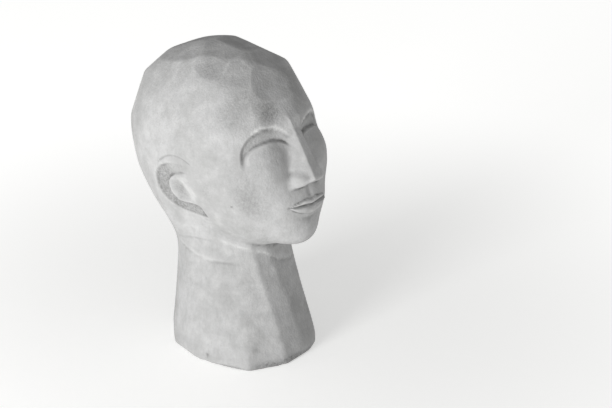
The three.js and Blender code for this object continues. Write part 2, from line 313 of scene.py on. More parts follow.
@dataclass(frozen=True)
class Sockets:
    """The carving round each blank eye, laid out on the face unrolled to s millimetres from its middle.

    A recess lies under the brow edge. In it a crescent is cut down from the brow edge to the lid, and the
    blank ball stands out. Each is deeper near the nose.
    """

    at: Heights = Heights()
    centre: float = 33.0
    half_width: float = 31.0
    arc_drop: float = 4.0
    arc_ends: Span = (-9.0, 3.0)
    lid_centre: float = 32.0
    lid_half_width: float = 26.0
    lid_height: float = 13.5
    near_nose: Span = (46.0, 10.0)
    recess: float = 1.2
    more_recess: float = 3.8
    recess_top: Span = (0.0, 16.0)
    recess_foot: Span = (-44.0, 0.0)
    recess_side: Span = (64.0, 44.0)
    wall: float = 1.7
    wall_wide: Span = (0.0, 3.2)
    crescent: float = 1.6
    more_crescent: float = 0.8
    crescent_fall: float = 1.3
    crescent_top: Span = (0.0, 2.0)
    lid_edge: Span = (-1.6, 1.2)
    gap: float = 0.01
    ball: float = 3.8
    ball_radii: Pair = (29.0, 27.0)
    ball_drop: float = 8.0
    ball_round: float = 1.5
    # Spans of the dust and painted shade in the crescent under the brow edge
    dust_and_shade_top: Span = (0.0, 3.0)
    dust_and_shade_foot: Span = (-0.6, 1.6)
    dust_and_shade_side: Span = (20.0, 45.0)

    def _arcs(self, s: Field, z: Field) -> tuple[Field, Field, Field]:
        """Return where each point lies between the brow edge and the lid.

        Args:
            s: Distance of each point from the face's middle, round the face.
            z: Height of each point in the head's frame.

        Returns:
            Millimetres inside the brow edge, millimetres outside the lid and the fade at the arcs' ends.
        """
        low = self.at.eye - self.arc_drop
        tall = self.at.brow - low
        up = np.maximum(z - low, 0)
        brow = (1 - np.hypot((s - self.centre) / self.half_width, up / tall)) * tall
        lid = np.hypot((s - self.lid_centre) / self.lid_half_width, up / self.lid_height) - 1
        return brow, lid * self.lid_height, step(*self.arc_ends, z - low)

    def depth(self, s: Field, z: Field) -> Field:
        """Return how deep the recess and the crescent between brow edge and lid are carved.

        Args:
            s: Distance of each point from the face's middle, round the face.
            z: Height of each point in the head's frame.

        Returns:
            The depth at each point, below 0 where the ball stands out.
        """
        brow, lid, fade = self._arcs(s, z)
        near = step(*self.near_nose, s)
        recess = (self.recess + self.more_recess * near) * step(*self.recess_top, brow)
        recess = recess * step(*self.recess_foot, z) * step(*self.recess_side, s)
        across = np.clip(brow / (np.maximum(brow, 0) + np.maximum(lid, 0) + self.gap), 0, 1)
        fall = (self.crescent + self.more_crescent * near) * across**self.crescent_fall
        band = self.wall * step(*self.wall_wide, brow) + fall * step(*self.crescent_top, brow)
        crescent = band * step(*self.lid_edge, lid) * fade
        aside = (s - self.lid_centre) / self.ball_radii[0]
        above = (z - self.at.eye + self.ball_drop) / self.ball_radii[1]
        ball = self.ball * np.clip(1 - (aside**2 + above**2), 0, 1) ** self.ball_round
        return recess + crescent - ball

    def shade(self, s: Field, z: Field) -> Field:
        """Return 0 to 1 where dust and painted shade darken the crescent under the brow edge."""
        brow, lid, fade = self._arcs(s, z)
        return step(*self.dust_and_shade_top, brow) * step(*self.dust_and_shade_foot, lid) * fade * step(*self.dust_and_shade_side, s)


@dataclass(frozen=True)
class Lips:
    """Closed lips, the hollow below them and the channel above.

    Widths along the mouth are shares of its half width. The line between the lips rises towards the corners.
    """

    at: Heights = Heights()
    half_width: float = 25.0
    rise: float = 1.2
    dip: float = 0.9
    dip_wide: float = 0.2
    upper_tall: float = 7.6
    upper_taper: float = 0.75
    bow: float = 1.7
    bow_wide: float = 0.17
    lower_tall: float = 9.6
    lower_taper: float = 0.8
    upper_out: float = 2.7
    lower_out: float = 3.9
    roundness: float = 0.7
    thinnest: float = 0.5
    corners: Span = (1.05, 0.86)
    thinning: float = 0.3
    groove: float = 1.5
    groove_wide: float = 1.2
    groove_ends: Span = (1.12, 0.95)
    hollow: float = 2.0
    hollow_wide: float = 16.0
    hollow_drop: float = 4.5
    channel: float = 1.3
    channel_wide: float = 3.2
    channel_foot: Span = (1.0, 4.0)
    channel_top: Span = (2.0, -3.0)

    def _swell(self, share: Field, out: float) -> Field:
        """Return how far a lip stands out, at a share of its height from the line between the lips."""
        share = np.clip(share, 0, 1)
        return out * np.clip(4 * share * (1 - share), 0, 1) ** self.roundness

    def depth(self, x: Field, z: Field) -> Field:
        """Return how deep the mouth is carved.

        Args:
            x: Place of each point across the head.
            z: Height of each point in the head's frame.

        Returns:
            The depth at each point, below 0 where the lips stand out.
        """
        u = np.abs(x) / self.half_width
        line = self.at.mouth + self.rise * u * u - self.dip * bell(u, self.dip_wide)
        top = line + self.upper_tall * np.clip(1 - u, 0, 1) ** self.upper_taper
        top = top - self.bow * bell(u, self.bow_wide)
        low = line - self.lower_tall * np.clip(1 - u * u, 0, 1) ** self.lower_taper
        upper = self._swell((z - line) / np.maximum(top - line, self.thinnest), self.upper_out)
        lower = self._swell((line - z) / np.maximum(line - low, self.thinnest), self.lower_out)
        lips = np.where(z > line, upper, lower) * step(*self.corners, u)
        groove = self.groove * bell(z - line, self.groove_wide) * step(*self.groove_ends, u)
        below = (z - low + self.hollow_drop) / self.hollow_drop
        under = self.hollow * bell(np.hypot(below, x / self.hollow_wide), 1)
        foot = step(*(top + v for v in self.channel_foot), z)
        head = step(*(self.at.nose_base + v for v in self.channel_top), z)
        channel = self.channel * bell(x, self.channel_wide) * foot * head
        return groove + under + channel - lips * (1 - self.thinning * u)


@dataclass(frozen=True)
class Ears:
    """Low-relief ears: a C-shaped trough that narrows to the lobe, round a dished half-moon.

    An ear has its own millimetres: u runs to the back of the head and v up along the ear's tilt. The
    outline is an oval measured in shares of its size, 1 on its edge.
    """

    y: float = 14.0
    z: float = -20.0
    tilt: float = 24.0
    middle: Pair = (-7.2, -6.6)
    shear: float = 0.45
    wide: float = 34.9
    tall: float = 37.2
    outer_wall: Span = (1.04, 0.97)
    inner_wall: Span = (-0.3, 2.2)
    front_share: float = 0.35
    front_turn: Span = (60.0, 105.0)
    tip_turn: Span = (10.0, 45.0)
    lobe_turn: Span = (335.0, 310.0)
    moon: float = 15.2
    deep: float = 5.4
    edge_share: float = 0.2
    edge_at: float = 1.02
    edge_gap: float = 0.5
    dish: float = 2.8
    dish_wide: float = 8.0
    dish_rim: float = -1.2
    dish_soft: float = 0.3
    dish_front: Span = (-19.0, -3.0)
    dish_foot: Span = (-27.0, -18.0)
    dish_lean: float = 0.15
    arc: float = 35.7
    arc_deep: float = 0.45
    arc_wide: float = 1.1
    arc_foot: Span = (10.0, 16.0)
    arc_back: Span = (12.0, 6.0)
    rim_out: float = 0.2
    rim_at: float = 1.09
    rim_wide: float = 0.05
    rim_front: Span = (-18.0, 0.0)
    # Dirt and painted shade in the trough, the dish and the groove at the inner wall; the spot is dirt
    trough_dirt_and_shade: float = 0.85
    dish_dirt_and_shade: float = 0.65
    dish_dirt_and_shade_front: Span = (-8.0, -2.0)
    wall_dirt_and_shade: float = 0.3
    wall_dirt_and_shade_at: Pair = (1.8, 1.3)
    wall_dirt_and_shade_edge: Span = (1.0, 0.9)
    wall_dirt_and_shade_front: Span = (-6.0, 3.0)
    spot_dirt: float = 0.8
    spot: Pair = (17.0, -5.4)
    spot_wide: float = 2.4
    # Where the dish's front slope is rubbed pale and given a painted highlight
    rub_and_highlight_back: Span = (0.0, -9.0)
    rub_and_highlight_front: Span = (-20.0, -14.0)
    rub_and_highlight_rim: Span = (-1.0, -5.0)
    rub_and_highlight_foot: Span = (-25.0, -17.0)
    round_about: Span = (1.15, 1.0)

    def _own(self, y: Field, z: Field) -> tuple[Field, Field]:
        """Return the ear's own coordinates: u towards its back and v up along its tilt."""
        return leaned(y - self.y, z - self.z, self.tilt)

    def _outline(self, u: Field, v: Field) -> Field:
        """Return 1 on the ear's outline and less inside it."""
        across, up = u - self.middle[0], v - self.middle[1]
        return np.hypot((across - self.shear * up) / self.wide, up / self.tall)

    def _island(self, u: Field, v: Field) -> Field:
        """Return the distance to the half-moon and the cheek in front of the lobe.

        Its back is round. The straight lines under it and in front of it, and the flat curve over it, are
        laid out in the ear's own millimetres, each divided by its length to make it a distance.

        Args:
            u: Place of each point towards the ear's back.
            v: Place of each point up along the ear.

        Returns:
            The distance at each point.
        """
        back = np.hypot(np.maximum(u - 0.5, 0), v) - self.moon
        under = (0.75 * (u - 9) - 12.4 - v) / 1.25
        front = (u + 8.5 + 0.285 * (v + 25.5)) / 1.04
        lobe = smaller(under, front, 2) + 30 * step(-8, 1, v)
        top = (v - 14.3 - 0.1 * u + 0.0107 * np.minimum(u, 0) ** 2) / 1.05
        return larger(smaller(back, lobe, 3), top, 2)

    def _trough(self, u: Field, v: Field) -> Field:
        """Return how fully the trough is cut.

        Args:
            u: Place of each point towards the ear's back.
            v: Place of each point up along the ear.

        Returns:
            1 in the trough, less in front of the ear and 0 outside.
        """
        turn = np.degrees(np.arctan2(v, -u)) % 360
        front = self.front_share + (1 - self.front_share) * step(*self.front_turn, turn)
        front = front * step(*self.tip_turn, turn) * step(*self.lobe_turn, turn)
        walls = step(*self.outer_wall, self._outline(u, v)) * step(*self.inner_wall, self._island(u, v))
        return walls * front

    def _slope(self, u: Field, v: Field) -> Field:
        """Return how far down the trough's floor lies.

        Args:
            u: Place of each point towards the ear's back.
            v: Place of each point up along the ear.

        Returns:
            The share of its depth at each point, least at the outer edge and 1 at the half-moon.
        """
        across = np.maximum((self.edge_at - self._outline(u, v)) * self.wide, 0)
        whole = across + np.maximum(self._island(u, v), 0) + self.edge_gap
        return self.edge_share + (1 - self.edge_share) * across / whole

    def _dish(self, u: Field, v: Field) -> Field:
        """Return how far a point lies down in the dish, which falls from its back to its front wall.

        Args:
            u: Place of each point towards the ear's back.
            v: Place of each point up along the ear.

        Returns:
            0 at the dish's rim to 1 at its deepest.
        """
        inside = np.maximum((self.dish_rim - self._island(u, v)) / self.dish_wide, 0)
        fall = smaller(inside, np.float64(1), self.dish_soft)
        return fall * step(*self.dish_front, self._along(u, v)) * step(*self.dish_foot, v)

    def _along(self, u: Field, v: Field) -> Field:
        """Return u measured from the dish's front wall, which leans back towards the lobe."""
        return u + self.dish_lean * np.minimum(v, 0)

    def depth(self, y: Field, z: Field) -> Field:
        """Return how deep the ear is carved.

        Args:
            y: Depth of each point in the head's frame.
            z: Height of each point in the head's frame.

        Returns:
            The depth at each point, below 0 where an edge stands out.
        """
        u, v = self._own(y, z)
        rim = self.rim_out * bell(self._outline(u, v) - self.rim_at, self.rim_wide) * step(*self.rim_front, u)
        arc = self.arc_deep * bell(np.hypot(u, v) - self.arc, self.arc_wide)
        arc = arc * step(*self.arc_foot, v) * step(*self.arc_back, u)
        trough = self.deep * self._trough(u, v) * self._slope(u, v)
        return trough + self.dish * self._dish(u, v) - rim + arc

    def shade(self, y: Field, z: Field) -> Field:
        """Return where dirt and painted shade darken the ear: in the trough, at its inner wall and, thinly,
        in the dish.

        Args:
            y: Depth of each point in the head's frame.
            z: Height of each point in the head's frame.

        Returns:
            0 to 1 at each point, or a little over.
        """
        u, v = self._own(y, z)
        wall = bell(self._island(u, v) - self.wall_dirt_and_shade_at[0], self.wall_dirt_and_shade_at[1])
        wall = wall * step(*self.wall_dirt_and_shade_edge, self._outline(u, v)) * step(*self.wall_dirt_and_shade_front, u)
        spot = bell(np.hypot(u - self.spot[0], v - self.spot[1]), self.spot_wide)
        dish = self.dish_dirt_and_shade * self._dish(u, v) * step(*self.dish_dirt_and_shade_front, self._along(u, v))
        return self.trough_dirt_and_shade * self._trough(u, v) + dish + self.wall_dirt_and_shade * wall + self.spot_dirt * spot

    def rubbed(self, y: Field, z: Field) -> Field:
        """Return where the front slope of the dish is rubbed pale, with a painted highlight where it faces
        the lamp.

        Args:
            y: Depth of each point in the head's frame.
            z: Height of each point in the head's frame.

        Returns:
            0 to 1 at each point.
        """
        u, v = self._own(y, z)
        along = self._along(u, v)
        slope = step(*self.rub_and_highlight_back, along) * step(*self.rub_and_highlight_front, along)
        return slope * step(*self.rub_and_highlight_rim, self._island(u, v)) * step(*self.rub_and_highlight_foot, v)

    def inside(self, y: Field, z: Field) -> Field:
        """Return 0 to 1 inside the ear's outline."""
        return step(*self.round_about, self._outline(*self._own(y, z)))


@dataclass(frozen=True)
class NeckEdge:
    """A corner between two strips of the neck.

    Azimuths are in degrees at the foot and the throat, stand-outs in millimetres beyond the oval there. The
    tone is that of the strip that starts at the corner: painted shade above 0 where the strip turns from the
    lamp, and paler below 0 as painted light on the lit strip.
    """

    foot: float
    throat: float
    foot_out: float
    throat_out: float
    soft: float
    tone: float = 0.0


@dataclass(frozen=True)
class Ring:
    """A shallow ring scored round the side of the throat, lowest or highest at one azimuth.

    It fades out in front at the azimuth where it ends.
    """

    height: float
    rise: float
    deep: float
    end: float


@dataclass(frozen=True)
class FootTrim:
    """A flat trimmed on the lower edge of the foot: azimuth, how it leans and its reach at the floor."""

    azimuth: float
    elevation: float
    reach: float


@dataclass(frozen=True)
class Neck:
    """The flaring neck, cut in long upright strips below a soft throat.

    Azimuths are in degrees from the front. The fold is the line where the soft throat ends over the strips.
    """

    foot_y: float = 4.5
    foot: Pair = (75.0, 80.0)
    throat_y: float = 23.0
    throat: Pair = (53.6, 59.0)
    throat_z: float = 153.0
    top: float = 193.0
    lean_on: float = 1.25
    flare: float = 1.4
    out_flare: float = 1.5
    fullness: float = 1.012
    swing: float = 1.5
    corner_soft: float = 0.4
    ease: float = 0.97
    edges: tuple[NeckEdge, ...] = (
        # Strip tones: painted shade on the three strips turned from the lamp, painted light on the lit strip
        # that ends at the first corner
        NeckEdge(-12, -33, 2.2, 4.4, 1.2, 0.12), NeckEdge(8.5, -19, 1.2, 3.0, 1.5, 0.2),
        NeckEdge(33, 18, 2.6, 1.8, 2.5, 0.1),
        NeckEdge(60, 52, 0.5, 0.5, 5), NeckEdge(84, 80, 0.5, 0.5, 6), NeckEdge(110, 108, 1.0, 0.5, 6),
        NeckEdge(136, 136, 2.0, 0.8, 6), NeckEdge(162, 162, 1.0, 0.4, 6), NeckEdge(188, 188, 2.4, 0.8, 6),
        NeckEdge(214, 213, 3.0, 0.4, 6), NeckEdge(240, 240, 2.6, 0.6, 8), NeckEdge(264, 266, 0, 0, 8),
        NeckEdge(294, 292, -0.5, 0, 6), NeckEdge(318, 316, 4.6, 0.3, 3.5, -0.12),
    )
    trims: tuple[FootTrim, ...] = (
        FootTrim(-137, -17, 74), FootTrim(-100, -15, 71.5), FootTrim(-72, -12, 73), FootTrim(5, 1, 79),
        FootTrim(25, 2, 79.3), FootTrim(43, 7, 77), FootTrim(110, -12, 74), FootTrim(170, -12, 81),
    )
    trim_soft: float = 2.0
    rings: tuple[Ring, ...] = (Ring(114, 18, 0.3, -64), Ring(125, -16, 0.25, -38))
    ring_turn: float = 60.0
    ring_wide: float = 2.0
    ring_fade: float = 8.0
    ring_back: Span = (-150.0, -110.0)
    left_ring: float = 0.6
    left_front: Span = (60.0, 90.0)
    left_back: Span = (150.0, 120.0)
    fold_z: float = 117.0
    fold_rise: float = 0.28
    fold_out: float = 0.6
    fold_more: float = 1.2
    fold_most: Pair = (12.0, 22.0)
    fold_foot: Span = (-2.5, 5.5)
    fold_top: Span = (40.0, 16.0)
    fold_sides: Span = (66.0, 46.0)
    sag_azimuth: float = 22.0
    sag_wide: float = 24.0
    sag: float = 21.0
    fold_rub: Pair = (0.6, 1.6)
    fold_rub_back: Span = (-62.0, -52.0)
    fold_rub_front: Span = (4.0, -8.0)
    ring_rub: float = 0.7
    ring_rub_at: Pair = (2.5, 1.8)
    ring_rub_back: Span = (-130.0, -100.0)
    ring_rub_front: float = 40.0
    tone_edge: Span = (-0.5, 0.5)
    tone_top: Span = (2.0, -8.0)
    tone_foot: Span = (6.0, 20.0)

    def _corner(self, edge: NeckEdge, z: Field) -> Field:
        """Return the azimuth of a corner at each height, in degrees."""
        return edge.foot + (edge.throat - edge.foot) * np.clip(z / self.throat_z, 0, 1) ** self.swing

    def _middle(self, z: Field) -> Field:
        """Return the depth of the neck's leaning middle at each height."""
        return self.foot_y + (self.throat_y - self.foot_y) * np.clip(z / self.throat_z, 0, self.lean_on)

    def _azimuth(self, x: Field, y: Field, z: Field) -> Field:
        """Return the azimuth round the neck's leaning middle, in degrees from the front."""
        return np.degrees(np.arctan2(x, -(y - self._middle(z))))

    def distance(self, x: Field, y: Field, z: Field) -> Field:
        """Return the distance to the neck.

        Args:
            x: Place of each point across the piece.
            y: Depth of each point in the part's frame.
            z: Height of each point above the floor.

        Returns:
            The distance at each point.
        """
        flare = (1 - np.clip(z / self.throat_z, 0, 1)) ** self.flare
        cy = self._middle(z)
        rx, ry = (high + (low - high) * flare for high, low in zip(self.throat, self.foot))
        corners = []
        for edge in self.edges:
            a = np.radians(self._corner(edge, z))
            out = edge.throat_out + (edge.foot_out - edge.throat_out) * flare**self.out_flare
            r = self.fullness / np.hypot(np.sin(a) / rx, np.cos(a) / ry) + out
            corners.append((r * np.sin(a), -r * np.cos(a), edge.soft))
        f = z - self.top
        for (ax, ay, sa), (bx, by, sb) in zip(corners, corners[1:] + corners[:1]):
            ex, ey = bx - ax, by - ay
            strip = (ey * (x - ax) - ex * (y - cy - ay)) / np.hypot(ex, ey)
            f = larger(f, strip, self.corner_soft * (sa + sb))
        for trim in self.trims:
            a, e = math.radians(trim.azimuth), math.radians(trim.elevation)
            out = math.sin(a) * x - math.cos(a) * (y - self.foot_y) - trim.reach
            f = larger(f, out * math.cos(e) + z * math.sin(e), self.trim_soft)
        azimuth = self._azimuth(x, y, z)
        return self.ease * f + self._rings(azimuth, z) - self._fold(azimuth, z)

    def _above_ring(self, ring: Ring, azimuth: Field, z: Field) -> Field:
        """Return millimetres above the line of a ring."""
        return z - ring.height - ring.rise * np.cos(np.radians(azimuth + self.ring_turn))

    def _rings(self, azimuth: Field, z: Field) -> Field:
        """Return the depth of the rings scored round the sides of the throat.

        Args:
            azimuth: Azimuth of each point.
            z: Height of each point.

        Returns:
            The depth at each point.
        """
        left = self.left_ring * step(*self.left_front, azimuth) * step(*self.left_back, azimuth)
        cuts = np.zeros_like(z)
        for ring in self.rings:
            right = step(*self.ring_back, azimuth)
            right = right * step(ring.end + self.ring_fade, ring.end - self.ring_fade, azimuth)
            line = bell(self._above_ring(ring, azimuth, z), self.ring_wide)
            cuts = cuts + (right + left) * ring.deep * line
        return cuts

    def _above_fold(self, azimuth: Field, z: Field) -> Field:
        """Return millimetres above the line where the soft throat ends."""
        sag = self.sag * bell(azimuth - self.sag_azimuth, self.sag_wide)
        return z - self.fold_z - self.fold_rise * np.abs(azimuth) + sag

    def _fold(self, azimuth: Field, z: Field) -> Field:
        """Return how far the soft throat under the jaw stands out over the strips.

        Args:
            azimuth: Azimuth of each point.
            z: Height of each point.

        Returns:
            Millimetres outwards at each point.
        """
        above = self._above_fold(azimuth, z)
        out = self.fold_out * (1 + self.fold_more * bell(azimuth - self.fold_most[0], self.fold_most[1]))
        out = out * step(*self.fold_foot, above) * step(*self.fold_top, above)
        return out * step(*self.fold_sides, np.abs(azimuth))

    def wiped(self, x: Field, y: Field, z: Field) -> Field:
        """Return where the end of the soft throat and the upper ring are rubbed pale.

        Args:
            x: Place of each point across the piece.
            y: Depth of each point in the part's frame.
            z: Height of each point above the floor.

        Returns:
            0 to 1 at each point, or a little over where the two cross.
        """
        azimuth = self._azimuth(x, y, z)
        fold = bell(self._above_fold(azimuth, z) - self.fold_rub[0], self.fold_rub[1])
        fold = fold * step(*self.fold_rub_back, azimuth) * step(*self.fold_rub_front, azimuth)
        upper = self.rings[-1]
        line = bell(self._above_ring(upper, azimuth, z) - self.ring_rub_at[0], self.ring_rub_at[1])
        line = self.ring_rub * line * step(*self.ring_rub_back, azimuth)
        return fold + line * step(upper.end, upper.end - self.ring_rub_front, azimuth)

    def tone(self, x: Field, y: Field, z: Field) -> Field:
        """Return the painted light and shade of the strip that each point is on: darker above 0, paler below
        0.

        Args:
            x: Place of each point across the piece.
            y: Depth of each point in the part's frame.
            z: Height of each point above the floor.

        Returns:
            The tone at each point, which fades out above the strips and at the foot.
        """
        azimuth = self._azimuth(x, y, z)
        tone = np.zeros_like(z)
        for edge, following in zip(self.edges, self.edges[1:] + self.edges[:1]):
            past = (azimuth - self._corner(edge, z) + 180) % 360 - 180
            left = (self._corner(following, z) - azimuth + 180) % 360 - 180
            tone = tone + edge.tone * step(*self.tone_edge, past) * step(*self.tone_edge, left)
        return tone * step(*self.tone_top, self._above_fold(azimuth, z)) * step(*self.tone_foot, z)


@dataclass(frozen=True)
class Chip:
    """A small piece knocked off an edge: an ellipsoid taken away, in the part's frame."""

    centre: Triple
    radii: Triple

    def distance(self, x: Field, y: Field, z: Field) -> Field:
        """Return the distance to the ellipsoid."""
        return Mass(self.centre, self.radii, 0).distance(x, y, z)


@dataclass(frozen=True)
class Patch:
    """A soft patch in the part's frame: left darker or rubbed paler by handling, and in some places laid
    darker as painted shade.

    Fade is how suddenly it ends.
    """

    centre: Triple
    radii: Triple
    strength: float
    fade: float = 1.6

    def amount(self, points: Field) -> Field:
        """Return 0 to its strength at each point."""
        q = (points - np.array(self.centre)) / np.array(self.radii)
        return self.strength * np.exp(-((q**2).sum(-1) ** self.fade))


@dataclass(frozen=True)
class Bust:
    """The whole piece: the leaning head joined to its neck, cut flat underneath.

    The carving of the face is laid out on an upright cylinder of unroll_radius that stands at unroll_y, and
    fades out at the sides and behind. The nape's soft crease grows from front to back.
    """

    lean: float = 14.0
    head_y: float = 9.7
    head_z: float = 215.0
    skull: Skull = Skull()
    nose: Nose = Nose()
    sockets: Sockets = Sockets()
    lips: Lips = Lips()
    ears: Ears = Ears()
    neck: Neck = Neck()
    masses: tuple[Mass, ...] = (
        Mass((0, -29, -34), (61, 60, 64), 22),
        Mass((0, -65, -79), (23, 21, 18), 14),
        Mass((0, -62, -50), (36, 31, 27), 16),
        Mass((30, -47, -14), (31, 33, 28), 18),
    )
    wing: Mass = Mass((11.5, -93, -25), (7, 11, 7), 4)
    crease: float = 4.0
    unroll_y: float = -8.0
    unroll_radius: float = 80.0
    face_side: Span = (120.0, 95.0)
    face_back: Span = (10.0, -10.0)
    mouth_back: Span = (-60.0, -75.0)
    ear_side: Span = (35.0, 50.0)
    nose_soft: float = 2.0
    bridge_soft: float = 14.0
    bridge: Span = (16.0, 36.0)
    nape: float = 34.0
    nape_front: Span = (-10.0, 60.0)
    foot_wear: float = 1.6
    chip_wear: float = 0.8
    # Strength of the dust and painted shade under the brows
    eye_dust_and_shade: float = 0.55
    eye_front: Span = (-20.0, -40.0)
    line_rub: float = 0.55
    # Strength of the ears' rubbing and painted highlight
    ear_rub_and_highlight: float = 0.4
    facet_rub: float = 0.42
    foot_edge: Span = (3.0, 12.0)
    ear_saved: float = 0.6
    chips: tuple[Chip, ...] = (
        Chip((-71.2, -11.2, 8.0), (1.7, 3.2, 1.7)),
        Chip((-72.5, -10.0, 0), (2.0, 6.5, 2.0)),
        Chip((-9.0, -78.4, 4.0), (6.0, 3.0, 2.4)),
        Chip((-26.0, -75.4, 2.0), (8.0, 3.6, 2.4)),
        Chip((-40.0, -69.0, 0.5), (5.0, 3.4, 2.2)),
        Chip((-67.2, -0.4, 42.2), (2.0, 2.4, 2.4)),
        Chip((-62.6, -44.6, 186.4), (1.5, 1.2, 1.2)),
    )
    stains_and_shade: tuple[Patch, ...] = (
        Patch((-23, -60, 280), (13, 14, 11), 0.9),
        Patch((-34, -46, 291), (7, 12, 13), 0.42),
        # Painted shade on the crown's right, which turns from the lamp
        Patch((21, -48, 298), (16, 16, 26), 0.5),
        Patch((4, 10, 327), (10, 24, 10), 0.3),
        # Painted shade along the foot's lower edge, which faces down and away from the lamp
        Patch((-38, -67, 0), (20, 10, 6), 2.0),
        Patch((-12, -77, 1), (19, 8, 6.5), 2.0),
        Patch((18, -75, 0), (20, 9, 4), 1.2),
        Patch((-64, -40, 0), (10, 24, 3), 1.0),
        Patch((-44, -56, 20), (3.5, 3.5, 5), 0.4),
        Patch((-46, 2, 312), (13, 15, 12), 0.5),
        Patch((-46, -17, 306), (9, 10, 9), 0.25),
        Patch((-71, 30, 271), (12, 16, 13), 0.3),
        Patch((-60, -28, 272), (12, 13, 14), 0.22),
        Patch((-59, -58, 208), (18, 17, 22), 0.34),
        Patch((-50, -64, 187), (18, 17, 15), 0.38),
        Patch((-71.6, -17.3, 198), (6, 8, 10), 0.35),
        Patch((-42, -31, 299), (13, 14, 16), 0.16),
        Patch((-51, -36, 282), (13, 15, 18), 0.3),
        Patch((-57, 29, 95), (12, 16, 16), 0.15),
        Patch((-62.6, -44.6, 186.4), (1.3, 1.3, 1.3), 1.0),
        Patch((35, 60, 300), (24, 20, 20), 0.3),
        Patch((60, 20, 100), (16, 24, 20), 0.2),
        Patch((-61.5, 23, 70), (12, 14, 14), 0.18),
        Patch((-33.7, -44.7, 77), (8, 10, 16), 0.15),
    )
    rubs: tuple[Patch, ...] = (
        Patch((-19, 14, 326), (11, 15, 8), 0.28),
        Patch((-29, 46, 320), (16, 12, 8), 0.28),
        Patch((-4, -6, 327), (5, 8, 5), 0.4),
        Patch((-47, -49, 37), (10, 10, 12), 0.3),
    )

    def to_head(self, y: Field, z: Field) -> tuple[Field, Field]:
        """Return y and z in the leaning head's own frame."""
        return leaned(y - self.head_y, z - self.head_z, self.lean)

    def unrolled(self, m: Field, y: Field) -> Field:
        """Return the distance from the face's middle, measured round the head."""
        return np.arctan2(m, -(y - self.unroll_y)) * self.unroll_radius

    def _head(self, x: Field, y: Field, z: Field) -> Field:
        """Return the distance to the head.

        Args:
            x: Place of each point across the head.
            y: Depth of each point in the head's frame.
            z: Height of each point in the head's frame.

        Returns:
            The distance at each point.
        """
        m = np.abs(x)
        f = self.skull.distance(x, y, z)
        for mass in self.masses:
            f = smaller(f, mass.distance(m, y, z), mass.soft)
        s = self.unrolled(m, y)
        f = f + self.sockets.depth(s, z) * step(*self.face_side, s) * step(*self.face_back, y)
        f = f + self.lips.depth(x, z) * step(*self.mouth_back, y)
        f = f + self.ears.depth(y, z) * step(*self.ear_side, m)
        soft = self.nose_soft + self.bridge_soft * step(*self.bridge, z)
        f = smaller(f, self.nose.distance(m, y, z), soft)
        return smaller(f, self.wing.distance(m, y, z), self.wing.soft)

    def distance(self, x: Field, y: Field, z: Field) -> Field:
        """Return the distance to the piece.

        Args:
            x: Place of each point across the piece.
            y: Depth of each point in the part's frame.
            z: Height of each point above the floor.

        Returns:
            The distance at each point, below 0 inside.
        """
        join = self.crease + self.nape * step(*self.nape_front, y)
        f = smaller(self._head(x, *self.to_head(y, z)), self.neck.distance(x, y, z), join)
        for chip in self.chips:
            f = larger(f, -chip.distance(x, y, z), self.chip_wear)
        return larger(f, -z, self.foot_wear)

    def shade(self, points: Field) -> Field:
        """Return how much dirt and painted shade darken the carving, and how dark handling and painted shade
        have left the rest.

        Args:
            points: Points of the surface, in millimetres.

        Returns:
            0 to 1 at each point.
        """
        x, (y, z) = points[:, 0], self.to_head(points[:, 1], points[:, 2])
        m = np.abs(x)
        s = self.unrolled(m, y)
        # Dust and painted shade under the brows and in the ears
        eyes = self.eye_dust_and_shade * (self.sockets.shade(s, z) * step(*self.eye_front, y))
        ears = self.ears.shade(y, z) * step(*self.ear_side, m)
        # Stains, with painted shade on the crown's right and along the foot's lower edge
        marks = sum(darkening.amount(points) for darkening in self.stains_and_shade)
        # Painted shade on the neck's strips that turn from the lamp
        strips = np.maximum(self.neck.tone(*points.T), 0)
        return np.clip(eyes + ears + marks + strips, 0, 1)

    def wiped(self, points: Field) -> Field:
        """Return how pale the ears, the facets' edges, the scored lines and a few patches are rubbed, with
        painted light on the ear's lit slope and the neck's lit strip.

        Args:
            points: Points of the surface, in millimetres.

        Returns:
            0 to 1 at each point.
        """
        x, (y, z) = points[:, 0], self.to_head(points[:, 1], points[:, 2])
        ears = self.ears.rubbed(y, z) * step(*self.ear_side, np.abs(x))
        edges = self.skull.edges(x, y, z)
        # Painted light on the neck's lit strip
        strips = np.maximum(-self.neck.tone(*points.T), 0)
        rubs = sum(rub.amount(points) for rub in self.rubs)
        lines = self.line_rub * self.neck.wiped(*points.T)
        return np.clip(lines + self.ear_rub_and_highlight * ears + self.facet_rub * edges + strips + rubs, 0, 1)

    def touched(self, points: Field) -> Field:
        """Return how pale sharp edges wear: less in the ears, and not at all at the foot.

        Args:
            points: Points of the surface, in millimetres.

        Returns:
            0 to 1 at each point.
        """
        y, z = self.to_head(points[:, 1], points[:, 2])
        ears = self.ears.inside(y, z) * step(*self.ear_side, np.abs(points[:, 0]))
        return step(*self.foot_edge, points[:, 2]) * (1 - self.ear_saved * ears)


